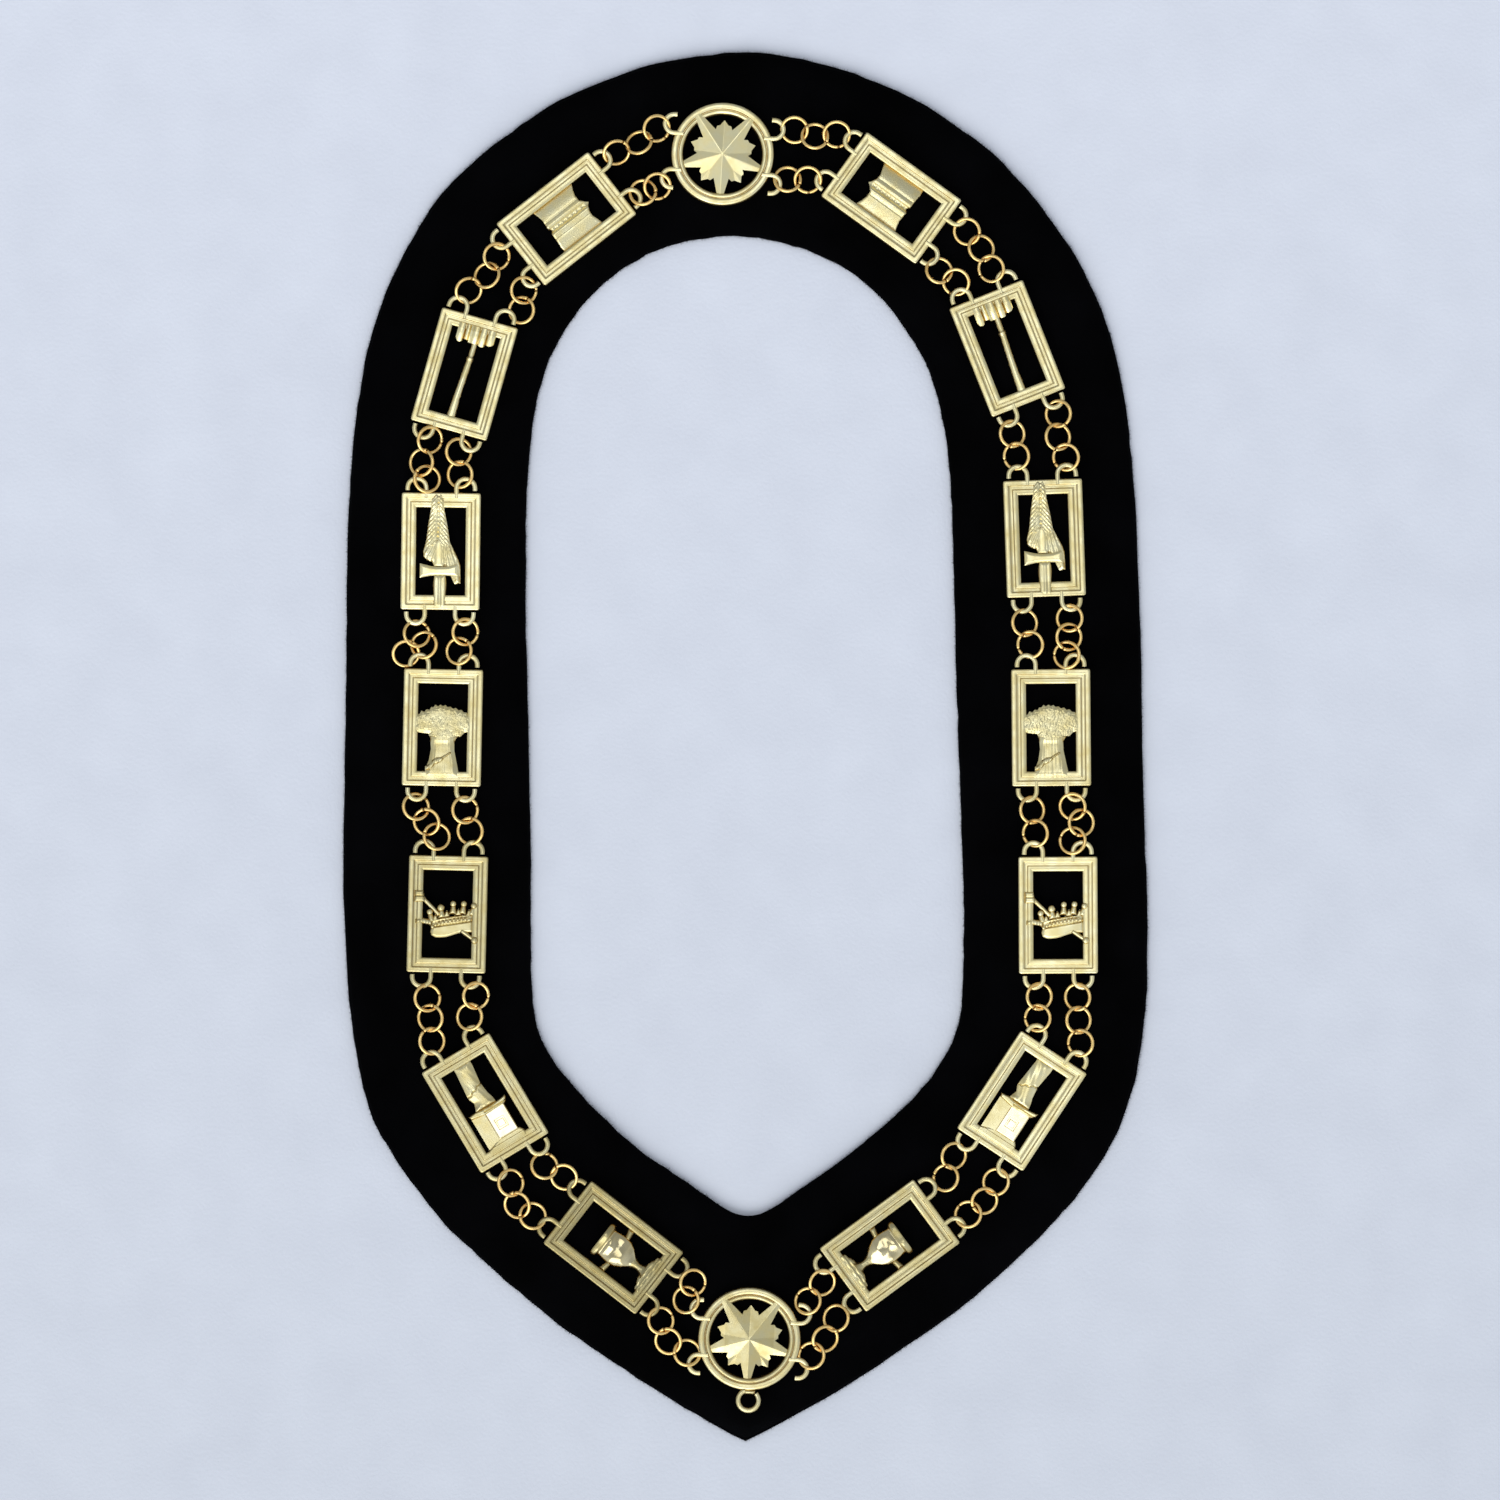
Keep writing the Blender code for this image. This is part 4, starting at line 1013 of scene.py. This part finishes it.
cup = framed_link()
cup_outline = [(-half, v) for v, half in CUP_SIDES] + [(half, v) for v, half in reversed(CUP_SIDES)]
relief(cup, cup_outline, cup_height)
polish(cup, -17, 17, -24, 9)
relief(cup, CUP_FOOT, foot_height)
bar(cup, (-25, -4.0), (-14, -6.2), 3.4, 2.6, 1.6, 2.4)
bar(cup, (25, -4.0), (14, -6.2), 3.4, 2.6, 1.6, 2.4)
lay_casting(cup, [
    ("cup_left", -0.0433, -0.1646, 52.2, 0.52, 0.62),
    ("cup_right", 0.0475, -0.1639, -53.6, 0.80, 0.68),
])

# The jump rings.
# Round rings of gilt wire, bright and a deeper gold than the castings, each sawn through and closed again.
# They link eye to eye in threes outside and twos inside, each leaning against its neighbour.
RING_RADIUS = 0.00424
RING_WIRE = 0.00120
RING_LEVEL = 0.0060
RING_GAP = 0.00014
RING_CLEARANCE = 0.00025
LEAST_CROSSING = 0.0009
LEAST_LEAN, MOST_LEAN = math.radians(19), math.radians(34)
FIRST_GAP_TURN, NEXT_GAP_TURN = math.radians(97), math.radians(61)
PHOTO_MIDDLE = (745.0, 746.5)

# The ring wire's deep gold is its painted shade, as on the castings.
gilt_ring_wire = gilt_material(
    "gilt_ring_wire", bright=(0.95, 0.69, 0.28), warm=(0.88, 0.58, 0.20), painted_shade_gold=(0.72, 0.40, 0.10),
    polish=0.22, dent_depth=0.00002,
)

ring = bmesh.new()
wire_place = Matrix.Translation((RING_RADIUS, 0, 0)) @ UPRIGHT
bmesh.ops.create_circle(ring, cap_ends=True, segments=12, radius=RING_WIRE / 2, matrix=wire_place)
bmesh.ops.spin(
    ring, geom=ring.faces[:], cent=(0, 0, 0), axis=(0, 0, 1), angle=math.tau - RING_GAP / RING_RADIUS,
    steps=36, use_merge=False, use_duplicate=False,
)
bmesh.ops.recalc_face_normals(ring, faces=ring.faces)
ring_pattern = bpy.data.meshes.new("jump_ring")
ring.to_mesh(ring_pattern)
ring.free()

# Each strand: the two links that it joins, then its rings' middles in the photograph.
OUTER_STRANDS = [
    ("star_top_to_book_left", (656.6, 128.7), (639, 142.8), (616.4, 152.8)),
    ("book_left_to_gavel_left", (496.6, 256.7), (487, 275.5), (468.6, 290.8)),
    ("gavel_left_to_sword_left", (430, 440), (421.5, 462.6), (427, 479)),
    ("sword_left_to_sheaf_left", (416.8, 633.8), (424, 645), (406, 653.6)),
    ("sheaf_left_to_crown_left", (416, 806.7), (426.5, 822), (436.7, 836.5)),
    ("crown_left_to_column_left", (427.4, 998), (430.3, 1018), (431.9, 1041)),
    ("column_left_to_cup_left", (510.8, 1182.7), (517, 1205), (532.7, 1215.7)),
    ("cup_left_to_star_bottom", (660.7, 1320.4), (668, 1341), (687, 1352.5)),
    ("star_bottom_to_cup_right", (811.2, 1355.4), (825, 1338.7), (835.9, 1318)),
    ("cup_right_to_column_right", (967.9, 1214.2), (984.2, 1200.8), (995.7, 1181.7)),
    ("column_right_to_crown_right", (1080.2, 1042.9), (1078.2, 1020), (1077.3, 997)),
    ("crown_right_to_sheaf_right", (1072.3, 840.6), (1081, 822.7), (1072.3, 806.6)),
    ("sheaf_right_to_sword_right", (1066.5, 655), (1068.6, 637), (1069.3, 618.3)),
    ("sword_right_to_gavel_right", (1065.7, 457.4), (1057.6, 437), (1058, 413.9)),
    ("gavel_right_to_book_right", (990.9, 268.9), (981, 248.6), (966.7, 231.8)),
    ("book_right_to_star_top", (836.5, 134.7), (814.7, 136.5), (794.4, 130.2)),
]
INNER_STRANDS = [
    ("star_top_to_book_left", (657.3, 186.5), (642.8, 192.6)),
    ("book_left_to_gavel_left", (523.7, 290.4), (521.4, 310.3)),
    ("gavel_left_to_sword_left", (458.7, 452), (460, 474.6)),
    ("sword_left_to_sheaf_left", (465.3, 632), (458.9, 651)),
    ("sheaf_left_to_crown_left", (465, 810), (470, 831)),
    ("crown_left_to_column_left", (475.9, 995.6), (469.5, 1016.7)),
    ("column_left_to_cup_left", (544.3, 1165.7), (563.9, 1177)),
    ("cup_left_to_star_bottom", (692.8, 1282.5), (685.9, 1299.7)),
    ("star_bottom_to_cup_right", (807.7, 1300.8), (822.1, 1282.5)),
    ("cup_right_to_column_right", (945.5, 1177.8), (953.6, 1155.8)),
    ("column_right_to_crown_right", (1037.4, 1018), (1039, 996.4)),
    ("crown_right_to_sheaf_right", (1035.1, 833.2), (1031.9, 810)),
    ("sheaf_right_to_sword_right", (1030, 644.6), (1024.4, 622.9)),
    ("sword_right_to_gavel_right", (1016.2, 456.3), (1012, 433.9)),
    ("gavel_right_to_book_right", (955.8, 282.3), (938.9, 270.7)),
    ("book_right_to_star_top", (807.7, 180), (787.4, 179.6)),
]
for strand_name, strands in (("rings_outer_", OUTER_STRANDS), ("rings_inner_", INNER_STRANDS)):
    for node, *middles in strands:
        offsets = [(x - PHOTO_MIDDLE[0], PHOTO_MIDDLE[1] - y) for x, y in middles]
        points = [Vector((across * UNIT, up * UNIT, RING_LEVEL)) for across, up in offsets]
        strand = bmesh.new()
        for i, point in enumerate(points):
            steps = [points[j] - point for j in (i - 1, i + 1) if 0 <= j < len(points)]
            ahead = (points[min(i + 1, len(points) - 1)] - points[max(i - 1, 0)]).normalized()
            squares = [RING_RADIUS ** 2 - (step.length / 2) ** 2 for step in steps]
            crossing = min(math.sqrt(max(LEAST_CROSSING ** 2, square)) for square in squares)
            lean = math.asin(min(0.6, (RING_WIRE + RING_CLEARANCE) / (2 * crossing)))
            lean = max(LEAST_LEAN, min(MOST_LEAN, lean)) * (1 if i % 2 else -1)
            heading = Matrix.Rotation(math.atan2(ahead.y, ahead.x), 4, "Z")
            gap_turn = Matrix.Rotation(FIRST_GAP_TURN + NEXT_GAP_TURN * i, 4, "Z")
            turned = ring_pattern.copy()
            turned.transform(Matrix.Translation(point) @ heading @ Matrix.Rotation(lean, 4, "X") @ gap_turn)
            strand.from_mesh(turned)
            bpy.data.meshes.remove(turned)
        for face in strand.faces:
            face.smooth = len(face.verts) == 4
        tone = strand.verts.layers.float_color.new("tone")
        for vert in strand.verts:
            vert[tone] = (1, 1, 1, 1)
        piece = put_in_scene(strand_name + node + "_wire", strand, [gilt_ring_wire])
        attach(piece, "root")
        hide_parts(strand_name + node)
bpy.data.meshes.remove(ring_pattern)
